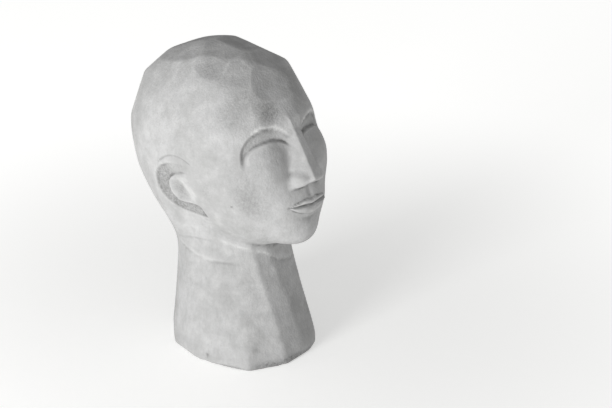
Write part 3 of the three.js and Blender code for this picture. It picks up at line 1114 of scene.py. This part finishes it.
@dataclass(frozen=True)
class RayGrid:
    """Rays that find a surface from inside, closest together over the face and the ears.

    The rays start from a line inside: through the head down to the split, where they have turned low degrees
    below level, and then down to the middle of the foot. Columns gather at the azimuths of the face and the
    ears, and rows between the chin and the brow. Relief is the surface against itself smoothed near times,
    less a share of what smoothing it wide times takes away.
    """

    columns: int = 384
    rows: int = 252
    foot_y: float = 4.5
    head_y: float = 9.7
    head_z: float = 215.0
    split: float = 0.62
    low: float = 30.0
    slide: float = 28.0
    start: float = 20.0
    stride: float = 4.0
    halvings: int = 14
    turns: int = 4001
    face_pull: float = 2.6
    face_wide: float = 52.0
    ear_pull: float = 0.9
    ear_at: float = 95.0
    ear_wide: float = 24.0
    heights: int = 801
    side: float = -1.2
    side_share: float = 0.5
    face_rows: float = 1.3
    chin: Span = (123.0, 143.0)
    brow: Span = (248.0, 268.0)
    near: int = 3
    wide: int = 14
    even: int = 6
    broad_share: float = 0.12

    def surface(self, shape: Shape, azimuth: Field, v: Field) -> Field:
        """Return the points where rays leave the shape.

        Args:
            shape: Signed distance of x, y and z.
            azimuth: Direction of each ray round Z, in radians from -Y.
            v: Height parameter of each ray, 0 at the crown and 1 at the foot.

        Returns:
            Points with a last axis of three, in millimetres.
        """
        u = np.clip(v / self.split, 0, 1)
        s = np.clip((v - self.split) / (1 - self.split), 0, 1)
        z = (self.head_z + self.slide - 2 * self.slide * u) * (1 - s)
        y = self.head_y + (self.foot_y - self.head_y) * s
        low = math.radians(self.low)
        e = np.where(v < self.split, np.pi / 2 - (np.pi / 2 + low) * u, -np.arctan(math.tan(low) * (1 - s)))
        ray = np.stack([np.sin(azimuth) * np.cos(e), -np.cos(azimuth) * np.cos(e), np.sin(e)])
        start = np.stack([np.zeros_like(y), y, z])
        lo = np.full(azimuth.shape, self.start)
        hi = lo.copy()
        inside = np.ones(azimuth.shape, bool)
        while inside.any():
            lo = np.where(inside, hi, lo)
            hi = np.where(inside, hi + self.stride, hi)
            inside &= shape(*(start + ray * hi)) <= 0
        for _ in range(self.halvings):
            middle = (lo + hi) / 2
            out = shape(*(start + ray * middle)) > 0
            hi = np.where(out, middle, hi)
            lo = np.where(out, lo, middle)
        return np.moveaxis(start + ray * (lo + hi) / 2, 0, -1)

    def _azimuths(self) -> Field:
        """Return the columns' azimuths, close together over the face and the ears.

        Returns:
            One azimuth for each column, in radians.
        """
        turn = np.linspace(-np.pi, np.pi, self.turns)
        d = np.degrees(np.abs(turn))
        weight = 1 + self.face_pull * np.exp(-((d / self.face_wide) ** 4))
        weight = weight + self.ear_pull * bell(d - self.ear_at, self.ear_wide)
        total = np.concatenate([[0], np.cumsum((weight[1:] + weight[:-1]) / 2)])
        return np.interp(np.arange(self.columns) / self.columns * total[-1], total, turn)

    def _heights(self, shape: Shape) -> Field:
        """Return the rows' height parameters, spaced by length along the front and the side.

        Args:
            shape: Signed distance of x, y and z.

        Returns:
            One height parameter for each row.
        """
        v = np.linspace(0, 1, self.heights)
        front = self.surface(shape, np.zeros_like(v), v)
        side = self.surface(shape, np.full_like(v, self.side), v)
        length = np.linalg.norm(np.diff(front, axis=0), axis=1)
        length = length + self.side_share * np.linalg.norm(np.diff(side, axis=0), axis=1)
        z = (front[1:, 2] + front[:-1, 2]) / 2
        face = 1 + self.face_rows * step(*self.chin, z) * (1 - step(*self.brow, z))
        total = np.concatenate([[0], np.cumsum(length * face)])
        return np.interp(np.arange(1, self.rows + 1) / self.rows * total[-1], total, v)

    def mesh(self, shape: Shape) -> tuple[Field, Faces]:
        """Return the closed surface of the shape.

        Args:
            shape: Signed distance of x, y and z.

        Returns:
            Its points in millimetres, row by row with the crown and the foot's middle last, and its faces.
        """
        azimuth, v = np.meshgrid(self._azimuths(), self._heights(shape))
        points = self.surface(shape, azimuth, v)
        points[-1, :, 2] = 0
        crown = self.surface(shape, np.zeros(1), np.zeros(1))
        points = np.concatenate([points.reshape(-1, 3), crown, [[0, self.foot_y, 0]]])
        n, last = self.columns, self.rows - 1
        top, under = self.rows * n, self.rows * n + 1
        faces: Faces = []
        for c in range(n):
            d = (c + 1) % n
            faces.append((top, c, d))
            faces.extend((r * n + c, (r + 1) * n + c, (r + 1) * n + d, r * n + d) for r in range(last))
            faces.append((under, last * n + d, last * n + c))
        return points, faces

    def relief(self, points: Field) -> Field:
        """Return how hollow (above 0) or sharp (below 0) the surface is at each point, in millimetres.

        Args:
            points: The points of mesh(), row by row.

        Returns:
            One number for each point.
        """
        grid = points[: self.rows * self.columns].reshape(self.rows, self.columns, 3)
        du = np.roll(grid, -1, 1) - np.roll(grid, 1, 1)
        dv = np.gradient(grid, axis=0)
        normal = np.cross(dv, du)
        normal /= np.linalg.norm(normal, axis=-1, keepdims=True) + TINY
        near, wide = self._blur(grid, self.near), self._blur(grid, self.wide)
        hollow = ((near - grid) * normal).sum(-1)
        broad = ((wide - grid) * normal).sum(-1)
        value = hollow - self.broad_share * self._blur(broad[..., None], self.even)[..., 0]
        return np.concatenate([value.ravel(), [0, 0]])

    def _blur(self, grid: Field, times: int) -> Field:
        """Return the grid smoothed with its neighbours.

        Args:
            grid: Values in rows and columns, with a last axis; the columns run round.
            times: Number of passes.

        Returns:
            The smoothed grid, of the same shape.
        """
        for _ in range(times):
            grid = (np.roll(grid, 1, 1) + 2 * grid + np.roll(grid, -1, 1)) / 4
            pad = np.concatenate([grid[:1], grid, grid[-1:]])
            grid = (pad[:-2] + 2 * grid + pad[2:]) / 4
        return grid


def add_node(
    tree: Tree,
    kind: str,
    settings: dict[str, Any] | None = None,
    values: dict[str | int, Any] | None = None,
    links: dict[str | int, Socket] | None = None,
) -> bpy.types.Node:
    """Add a node to a tree.

    Args:
        tree: Shader or geometry node tree.
        kind: Blender's name for the node type.
        settings: Attributes of the node.
        values: Values of unlinked inputs, by name or place.
        links: Outputs to link to inputs, by name or place.

    Returns:
        The new node.
    """
    node = tree.nodes.new(kind)
    for name, value in (settings or {}).items():
        setattr(node, name, value)
    for name, value in (values or {}).items():
        node.inputs[name].default_value = value
    for name, socket in (links or {}).items():
        tree.links.new(socket, node.inputs[name])
    return node


def linear(hex_colour: str) -> tuple[float, float, float, float]:
    """Return an sRGB colour as linear light.

    Args:
        hex_colour: The colour as # and six hex digits.

    Returns:
        Red, green, blue and alpha, from 0 to 1.
    """
    parts = [int(hex_colour[i : i + 2], 16) / 255 for i in (1, 3, 5)]
    rgb = [p / 12.92 if p <= 0.04045 else ((p + 0.055) / 1.055) ** 2.4 for p in parts]
    return rgb[0], rgb[1], rgb[2], 1.0


# Settings that many nodes share
SMOOTH = {"interpolation_type": "SMOOTHSTEP"}
TIMES = {"operation": "MULTIPLY"}


class Mark(Enum):
    """What each point of the mesh keeps from the carving, by the name of its attribute."""

    HOLLOW = "hollow"
    SHARP = "sharp"
    # The dirt attribute holds dirt and painted shade
    DIRT_AND_SHADE = "dirt"


@dataclass(frozen=True)
class Pattern:
    """An irregular pattern: how far across its patches are, how rough, and how far drawn out upright."""

    name: str
    size_mm: float
    detail: float
    roughness: float
    warp: float = 0.0
    stretch: float = 1.0


@dataclass(frozen=True)
class Coat:
    """A colour laid over those below: from low to high as a pattern runs from start to end.

    Where it has a mark, it lies only as far as that mark is on the surface.
    """

    colour: str
    pattern: str
    start: float
    end: float
    low: float
    high: float
    mark: Mark | None = None


@dataclass(frozen=True)
class CastPlaster:
    """Plaster of Paris, cast and then scraped by hand: chalky, matt and mottled by touch.

    A cast face is dull and very slightly porous, so the light on it is soft and without shine. The grain
    is left sharper on the crown than lower down, where hands have smoothed it.
    """

    clean: str = "#bababa"
    # Plaster's own grain and the teeth of a rasp are well under a millimetre apart. Both are drawn at 2 to
    # 3 mm, because they wouldn't show from a step away. The rest are as large as hands and scrapers leave.
    patterns: tuple[Pattern, ...] = (
        Pattern("cloud", 55.0, 3, 0.55),
        Pattern("smudge", 17.0, 5, 0.62, warp=0.15),
        Pattern("mottle", 6.0, 4, 0.7),
        Pattern("skin", 4.5, 4, 0.6),
        Pattern("rasp", 3.0, 2, 0.6, stretch=7.0),
        Pattern("grain", 2.2, 2, 0.7),
    )
    coats: tuple[Coat, ...] = (
        Coat(SMUDGED, "cloud", 0.36, 0.62, 0, 0.42),
        Coat(SMUDGED, "smudge", 0.48, 0.66, 0, 0.32),
        Coat(WIPED_AND_LIT, "smudge", 0.50, 0.30, 0, 0.24),
        Coat(SMUDGED, "mottle", 0.48, 0.66, 0, 0.14),
        Coat(WIPED_AND_LIT, "mottle", 0.50, 0.32, 0, 0.10),
        Coat(SMUDGED, "rasp", 0.52, 0.68, 0, 0.17),
        Coat(SMUDGED, "grain", 0.45, 0.72, 0, 0.12),
        # Edges rubbed pale, with painted light on the neck's lit strip and the ear's lit slope
        Coat(WIPED_AND_LIT, "smudge", 0.62, 0.40, 0.35, 1.0, Mark.SHARP),
        # Dirt and painted shade in hollows, darker the more hollow the surface
        Coat(GRIME_AND_SHADE, "smudge", 0.35, 0.60, 0.3, 0.8, Mark.HOLLOW),
        # Dirt and painted shade from the carving, the neck's strips and the patches
        Coat(GRIME_AND_SHADE, "grain", 0.30, 0.70, 0.30, 0.75, Mark.DIRT_AND_SHADE),
    )
    roughness: Pair = (0.86, 1.0)
    roughness_from: Span = (0.3, 0.7)
    specular: float = 0.12
    ior: float = 1.52
    grain_mm: float = 0.5
    grain_bump: float = 0.9
    lower_grain: float = 0.4
    crown_m: Span = (0.23, 0.27)
    skin_mm: float = 0.8
    skin_bump: float = 0.8

    def build(self) -> bpy.types.Material:
        """Build the material: a tone of many coats on a chalky, faintly rough skin.

        Returns:
            The material.
        """
        material = bpy.data.materials.new("scraped_cast_plaster")
        material.use_nodes = True
        tree = material.node_tree
        tree.nodes.clear()
        place = add_node(tree, "ShaderNodeTexCoord").outputs["Object"]
        drawn = self._draw(tree, place)
        start, end = self.roughness_from
        low, high = self.roughness
        values = {"From Min": start, "From Max": end, "To Min": low, "To Max": high}
        rough = add_node(tree, "ShaderNodeMapRange", SMOOTH, values, {"Value": drawn["smudge"]})
        values = {"IOR": self.ior, "Metallic": 0.0, "Specular IOR Level": self.specular}
        links = {
            "Base Color": self._tone(tree, drawn),
            "Roughness": rough.outputs["Result"],
            "Normal": self._skin(tree, place, drawn),
        }
        shader = add_node(tree, "ShaderNodeBsdfPrincipled", None, values, links)
        add_node(tree, "ShaderNodeOutputMaterial", None, None, {"Surface": shader.outputs["BSDF"]})
        return material

    def _draw(self, tree: Tree, place: Socket) -> dict[str, Socket]:
        """Draw each pattern at its real size.

        Args:
            tree: The material's node tree.
            place: Object coordinates.

        Returns:
            The strength of each pattern, by its name.
        """
        drawn = {}
        for pattern in self.patterns:
            across = 1 / (pattern.size_mm * MM)
            scale = (across, across, across / pattern.stretch)
            spot = add_node(tree, "ShaderNodeVectorMath", TIMES, {1: scale}, {0: place})
            values = {
                "Scale": 1.0,
                "Detail": pattern.detail,
                "Roughness": pattern.roughness,
                "Distortion": pattern.warp,
            }
            noise = add_node(tree, "ShaderNodeTexNoise", None, values, {"Vector": spot.outputs[0]})
            drawn[pattern.name] = noise.outputs["Fac"]
        return drawn

    def _tone(self, tree: Tree, drawn: dict[str, Socket]) -> Socket:
        """Lay the coats one over another on the clean plaster.

        Args:
            tree: The material's node tree.
            drawn: The strength of each pattern, by its name.

        Returns:
            The colour.
        """
        marks = {
            mark: add_node(tree, "ShaderNodeAttribute", {"attribute_name": mark.value}).outputs["Fac"]
            for mark in Mark
        }
        tone: Socket | None = None
        for coat in self.coats:
            values = {"From Min": coat.start, "From Max": coat.end, "To Min": coat.low, "To Max": coat.high}
            laid = add_node(tree, "ShaderNodeMapRange", SMOOTH, values, {"Value": drawn[coat.pattern]})
            amount = laid.outputs["Result"]
            if coat.mark:
                both = {0: marks[coat.mark], 1: amount}
                amount = add_node(tree, "ShaderNodeMath", TIMES, None, both).outputs[0]
            under = {6: tone} if tone else {}
            values = {6: linear(self.clean), 7: linear(coat.colour)}
            mix = add_node(tree, "ShaderNodeMix", {"data_type": "RGBA"}, values, {0: amount, **under})
            tone = mix.outputs[2]
        return tone

    def _skin(self, tree: Tree, place: Socket, drawn: dict[str, Socket]) -> Socket:
        """Raise the scraped skin over the grain.

        Args:
            tree: The material's node tree.
            place: Object coordinates.
            drawn: The strength of each pattern, by its name.

        Returns:
            The normal.
        """
        height = add_node(tree, "ShaderNodeSeparateXYZ", None, None, {0: place}).outputs["Z"]
        start, end = self.crown_m
        values = {"From Min": start, "From Max": end, "To Min": self.lower_grain, "To Max": 1.0}
        left = add_node(tree, "ShaderNodeMapRange", SMOOTH, values, {"Value": height}).outputs["Result"]
        both = {0: drawn["grain"], 1: left}
        grain = add_node(tree, "ShaderNodeMath", TIMES, None, both).outputs[0]
        values = {"Strength": self.grain_bump, "Distance": self.grain_mm * MM}
        fine = add_node(tree, "ShaderNodeBump", None, values, {"Height": grain}).outputs["Normal"]
        values = {"Strength": self.skin_bump, "Distance": self.skin_mm * MM}
        links = {"Height": drawn["skin"], "Normal": fine}
        return add_node(tree, "ShaderNodeBump", None, values, links).outputs["Normal"]


@dataclass(frozen=True)
class HandFinish:
    """What repeats all over the surface: scraped undulation and pits left by air bubbles.

    Swells are noise of one detail and roughness, about its mean. A pit is smallest_pit to 1 times the full
    size, and flat_pit of its radius is its flat floor. All fade out over foot_mm above the floor, so that
    the foot stays flat.
    """

    wave_mm: float = 0.6
    wave_size_mm: float = 24.0
    scrape_mm: float = 0.32
    scrape_size_mm: float = 7.0
    detail: float = 2.0
    roughness: float = 0.5
    mean: float = 0.5
    pits: float = 650.0
    pit_radius_mm: float = 1.6
    pit_depth_mm: float = 0.55
    smallest_pit: float = 0.35
    flat_pit: float = 0.25
    foot_mm: float = 3.0
    seed: int = 7

    def inputs(self) -> dict[str, float | int]:
        """Return the value of each named input of the tree.

        Returns:
            The values by name, in metres.
        """
        return {
            "Wave depth": self.wave_mm * MM,
            "Wave size": self.wave_size_mm * MM,
            "Scrape depth": self.scrape_mm * MM,
            "Scrape size": self.scrape_size_mm * MM,
            "Pits per square metre": self.pits,
            "Pit radius": self.pit_radius_mm * MM,
            "Pit depth": self.pit_depth_mm * MM,
            "Foot height": self.foot_mm * MM,
            "Seed": self.seed,
        }

    def tree(self, material: bpy.types.Material) -> tuple[Tree, dict[str, str]]:
        """Build the node tree.

        Args:
            material: The finish that the tree's result wears.

        Returns:
            The tree, and the identifier of each named input.
        """
        tree = bpy.data.node_groups.new("hand_finish", "GeometryNodeTree")
        face = tree.interface
        face.new_socket("Geometry", in_out="INPUT", socket_type="NodeSocketGeometry")
        face.new_socket("Geometry", in_out="OUTPUT", socket_type="NodeSocketGeometry")
        names: dict[str, str] = {}
        for label, value in self.inputs().items():
            kind = "NodeSocketInt" if isinstance(value, int) else "NodeSocketFloat"
            names[label] = face.new_socket(label, in_out="INPUT", socket_type=kind).identifier
        given = add_node(tree, "NodeGroupInput").outputs
        place = add_node(tree, "GeometryNodeInputPosition").outputs[0]
        normal = add_node(tree, "GeometryNodeInputNormal").outputs["Normal"]

        rise = self._swell(tree, place, given["Wave size"], given["Wave depth"])
        scrape = self._swell(tree, place, given["Scrape size"], given["Scrape depth"])
        for more in (scrape, self._pits(tree, given)):
            rise = add_node(tree, "ShaderNodeMath", {"operation": "ADD"}, None, {0: rise, 1: more}).outputs[0]
        height = add_node(tree, "ShaderNodeSeparateXYZ", None, None, {0: place}).outputs["Z"]
        links = {"Value": height, "From Max": given["Foot height"]}
        clear = add_node(tree, "ShaderNodeMapRange", SMOOTH, {"From Min": 0.0}, links).outputs["Result"]
        amount = add_node(tree, "ShaderNodeMath", TIMES, None, {0: rise, 1: clear}).outputs[0]
        links = {0: normal, "Scale": amount}
        offset = add_node(tree, "ShaderNodeVectorMath", {"operation": "SCALE"}, None, links).outputs[0]

        links = {"Geometry": given["Geometry"], "Offset": offset}
        moved = add_node(tree, "GeometryNodeSetPosition", None, None, links).outputs[0]
        smooth = add_node(tree, "GeometryNodeSetShadeSmooth", None, None, {"Geometry": moved}).outputs[0]
        real = add_node(tree, "GeometryNodeRealizeInstances", None, None, {"Geometry": smooth}).outputs[0]
        worn = add_node(tree, "GeometryNodeSetMaterial", None, {"Material": material}, {"Geometry": real})
        add_node(tree, "NodeGroupOutput", None, None, {0: worn.outputs[0]})
        return tree, names

    def _swell(self, tree: Tree, place: Socket, size: Socket, depth: Socket) -> Socket:
        """Add a soft rise and fall.

        Args:
            tree: The finish's node tree.
            place: Place of each point.
            size: How far across its swells are.
            depth: How deep they are.

        Returns:
            The rise at each point, below 0 where it falls.
        """
        scale = add_node(tree, "ShaderNodeMath", {"operation": "DIVIDE"}, {0: 1.0}, {1: size}).outputs[0]
        values = {"Detail": self.detail, "Roughness": self.roughness}
        links = {"Vector": place, "Scale": scale}
        noise = add_node(tree, "ShaderNodeTexNoise", None, values, links).outputs[0]
        middle = {1: self.mean}
        centred = add_node(tree, "ShaderNodeMath", {"operation": "SUBTRACT"}, middle, {0: noise}).outputs[0]
        return add_node(tree, "ShaderNodeMath", TIMES, None, {0: centred, 1: depth}).outputs[0]

    def _pits(self, tree: Tree, given: Any) -> Socket:
        """Scatter the bubble pits.

        Args:
            tree: The finish's node tree.
            given: Outputs of the group's input node.

        Returns:
            The depth of the nearest pit, below 0 in it and 0 between pits.
        """
        links = {
            "Mesh": given["Geometry"],
            "Density": given["Pits per square metre"],
            "Seed": given["Seed"],
        }
        settings = {"distribute_method": "RANDOM"}
        scatter = add_node(tree, "GeometryNodeDistributePointsOnFaces", settings, None, links)
        points = scatter.outputs["Points"]
        near = add_node(tree, "GeometryNodeSampleNearest", {"domain": "POINT"}, None, {0: points}).outputs[0]
        values = {2: self.smallest_pit, 3: 1.0}
        links = {"Seed": given["Seed"], "ID": near}
        chance = add_node(tree, "FunctionNodeRandomValue", {"data_type": "FLOAT"}, values, links).outputs[1]
        settings = {"target_element": "POINTS"}
        gap = add_node(tree, "GeometryNodeProximity", settings, None, {0: points}).outputs["Distance"]
        radius, depth = (
            add_node(tree, "ShaderNodeMath", TIMES, None, {0: given[size], 1: chance}).outputs[0]
            for size in ("Pit radius", "Pit depth")
        )
        links = {0: gap, 1: radius}
        part = add_node(tree, "ShaderNodeMath", {"operation": "DIVIDE"}, None, links).outputs[0]
        values = {"From Min": self.flat_pit, "From Max": 1.0, "To Min": -1.0, "To Max": 0.0}
        dip = add_node(tree, "ShaderNodeMapRange", SMOOTH, values, {"Value": part}).outputs["Result"]
        return add_node(tree, "ShaderNodeMath", TIMES, None, {0: dip, 1: depth}).outputs[0]

    def apply(self, piece: bpy.types.Object, material: bpy.types.Material) -> bpy.types.Object:
        """Make the finish solid.

        Args:
            piece: The unfinished piece, which is removed.
            material: The finish that the result wears.

        Returns:
            A new plain object of the same name, without modifiers.
        """
        tree, names = self.tree(material)
        modifier = piece.modifiers.new("hand_finish", "NODES")
        modifier.node_group = tree
        for label, value in self.inputs().items():
            modifier[names[label]] = value
        graph = bpy.context.evaluated_depsgraph_get()
        mesh = bpy.data.meshes.new_from_object(piece.evaluated_get(graph), depsgraph=graph)
        name = piece.name
        mesh.name = name
        finished = bpy.data.objects.new(name, mesh)
        bpy.context.collection.objects.link(finished)
        bpy.data.objects.remove(piece)
        finished.name = name
        return finished


@dataclass
class PlasterHead:
    """The whole object: one cast piece.

    An edge starts to wear pale, and a hollow to hold dust and painted shade, from a relief in millimetres,
    and is full when there is so much more.
    """

    bust: Bust = field(default_factory=Bust)
    grid: RayGrid = field(default_factory=RayGrid)
    finish: HandFinish = field(default_factory=HandFinish)
    plaster: CastPlaster = field(default_factory=CastPlaster)
    name: str = "cast_head"
    sharp_from: float = 0.12
    sharp_more: float = 0.45
    hollow_from: float = 0.05
    hollow_more: float = 0.25

    def marks(self, points: Field) -> dict[Mark, Field]:
        """Return what each point keeps from the carving.

        Args:
            points: Points of the surface, in millimetres.

        Returns:
            0 to 1 at each point, by mark.
        """
        relief = self.grid.relief(points)
        edges = np.clip((-relief - self.sharp_from) / self.sharp_more, 0, 1) * self.bust.touched(points)
        return {
            Mark.HOLLOW: np.clip((relief - self.hollow_from) / self.hollow_more, 0, 1),
            Mark.SHARP: np.maximum(edges, self.bust.wiped(points)),
            Mark.DIRT_AND_SHADE: self.bust.shade(points),
        }

    def build(self) -> bpy.types.Object:
        """Build the head with its form, finish and material.

        Returns:
            The finished piece.
        """
        points, faces = self.grid.mesh(self.bust.distance)
        mesh = bpy.data.meshes.new(self.name)
        mesh.from_pydata((points * MM).tolist(), [], faces)
        mesh.validate()
        for mark, values in self.marks(points).items():
            layer = mesh.attributes.new(mark.value, "FLOAT", "POINT")
            layer.data.foreach_set("value", values.astype(np.float32))
        rough = bpy.data.objects.new(self.name, mesh)
        bpy.context.collection.objects.link(rough)
        piece = self.finish.apply(rough, self.plaster.build())
        piece.data.polygons.foreach_set("use_smooth", [True] * len(piece.data.polygons))
        LOG.info("%s: %d faces", piece.name, len(piece.data.polygons))
        return piece


@dataclass(frozen=True)
class Studio:
    """A plain pale sweep of paper, soft light and a camera at the photograph's angle."""

    azimuth: float = -47.0
    elevation: float = 24.0
    focal_px: float = 1500.0
    frame_px: Pair = (612.0, 408.0)
    px_per_mm: float = 0.957
    target_mm: Triple = (0.0, 0.0, 168.0)
    target_px: Pair = (245.2, 193.7)
    sensor_mm: float = 36.0
    sight_m: float = 50.0
    floor_hex: str = "#f4f4f3"
    near_glow: float = 0.4
    far_glow: float = 0.68
    near_m: float = 0.15
    far_m: float = 0.8
    floor_half_m: float = 6.0
    sky: float = 0.375
    key_turn: float = -38.0
    key_elevation: float = 9.0
    key_watts: float = 20.3
    key_side_m: float = 0.6
    key_away_m: float = 1.7
    key_aim_m: Triple = (0.0, 0.0, 0.2)

    def camera(self) -> None:
        """Place the camera so that the target falls on its pixel at the given scale."""
        back = Vector(direction(self.azimuth, self.elevation))
        right = Vector((math.cos(math.radians(self.azimuth)), math.sin(math.radians(self.azimuth)), 0))
        up = back.cross(right)
        away = self.focal_px / self.px_per_mm
        aside = (self.target_px[0] - self.frame_px[0] / 2) / self.px_per_mm
        above = (self.frame_px[1] / 2 - self.target_px[1]) / self.px_per_mm
        data = bpy.data.cameras.new("camera")
        data.sensor_width = self.sensor_mm
        data.lens = self.focal_px / self.frame_px[0] * self.sensor_mm
        data.clip_end = self.sight_m
        camera = bpy.data.objects.new("camera", data)
        turn = Matrix((right, up, back)).transposed().to_4x4()
        spot = Vector(self.target_mm) + back * away - right * aside - up * above
        camera.matrix_world = Matrix.Translation(spot * MM) @ turn
        bpy.context.collection.objects.link(camera)
        bpy.context.scene.camera = camera

    def light(self) -> None:
        """Add the soft square key light, well to the left of the camera."""
        back = Vector(direction(self.azimuth + self.key_turn, self.key_elevation))
        data = bpy.data.lights.new("key", "AREA")
        data.shape = "SQUARE"
        data.size = self.key_side_m
        data.energy = self.key_watts
        lamp = bpy.data.objects.new("key", data)
        turn = back.to_track_quat("Z", "Y").to_matrix().to_4x4()
        lamp.matrix_world = Matrix.Translation(Vector(self.key_aim_m) + back * self.key_away_m) @ turn
        bpy.context.collection.objects.link(lamp)

    def paper(self) -> bpy.types.Material:
        """Build the floor's paper: matt and even in colour, and glowing as painted light, so that the eye
        sees no floor, only a soft shadow.

        It glows a little more away from the piece, because a photograph's backdrop fades to white there.

        Returns:
            The material.
        """
        material = bpy.data.materials.new("glowing_paper")
        material.use_nodes = True
        tree = material.node_tree
        shader = tree.nodes["Principled BSDF"]
        shader.inputs["Base Color"].default_value = linear(self.floor_hex)
        shader.inputs["Roughness"].default_value = 1.0
        # Painted light: the paper glows, more away from the piece, and so also lights the head
        shader.inputs["Emission Color"].default_value = linear(self.floor_hex)
        place = add_node(tree, "ShaderNodeTexCoord").outputs["Object"]
        settings = {"operation": "LENGTH"}
        away = add_node(tree, "ShaderNodeVectorMath", settings, None, {0: place}).outputs["Value"]
        reach = {"From Min": self.near_m, "From Max": self.far_m}
        glow = {"To Min": self.near_glow, "To Max": self.far_glow}
        rise = add_node(tree, "ShaderNodeMapRange", SMOOTH, {**reach, **glow}, {"Value": away})
        tree.links.new(rise.outputs["Result"], shader.inputs["Emission Strength"])
        return material

    def floor(self) -> None:
        """Add the pale floor."""
        half = self.floor_half_m
        corners = [(-half, -half, 0), (half, -half, 0), (half, half, 0), (-half, half, 0)]
        mesh = bpy.data.meshes.new("floor")
        mesh.from_pydata(corners, [], [(0, 1, 2, 3)])
        mesh.materials.append(self.paper())
        floor = bpy.data.objects.new("floor", mesh)
        bpy.context.collection.objects.link(floor)

    def surroundings(self) -> None:
        """Add the even white light from all round."""
        world = bpy.data.worlds.new("studio")
        world.use_nodes = True
        sky = world.node_tree.nodes["Background"]
        sky.inputs["Color"].default_value = (1, 1, 1, 1)
        sky.inputs["Strength"].default_value = self.sky
        bpy.context.scene.world = world
        bpy.context.scene.view_settings.view_transform = "Standard"

    def build(self) -> None:
        """Build the floor, surroundings, light and camera."""
        self.floor()
        self.surroundings()
        self.light()
        self.camera()
        LOG.info("studio: floor, surroundings, light, camera")


def main() -> None:
    """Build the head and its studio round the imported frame."""
    logging.basicConfig(level=logging.INFO, format="%(name)s %(message)s")
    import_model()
    piece = PlasterHead().build()
    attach(piece, BODY)
    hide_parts(NODE)
    Studio().build()


if __name__ == "__main__":
    main()
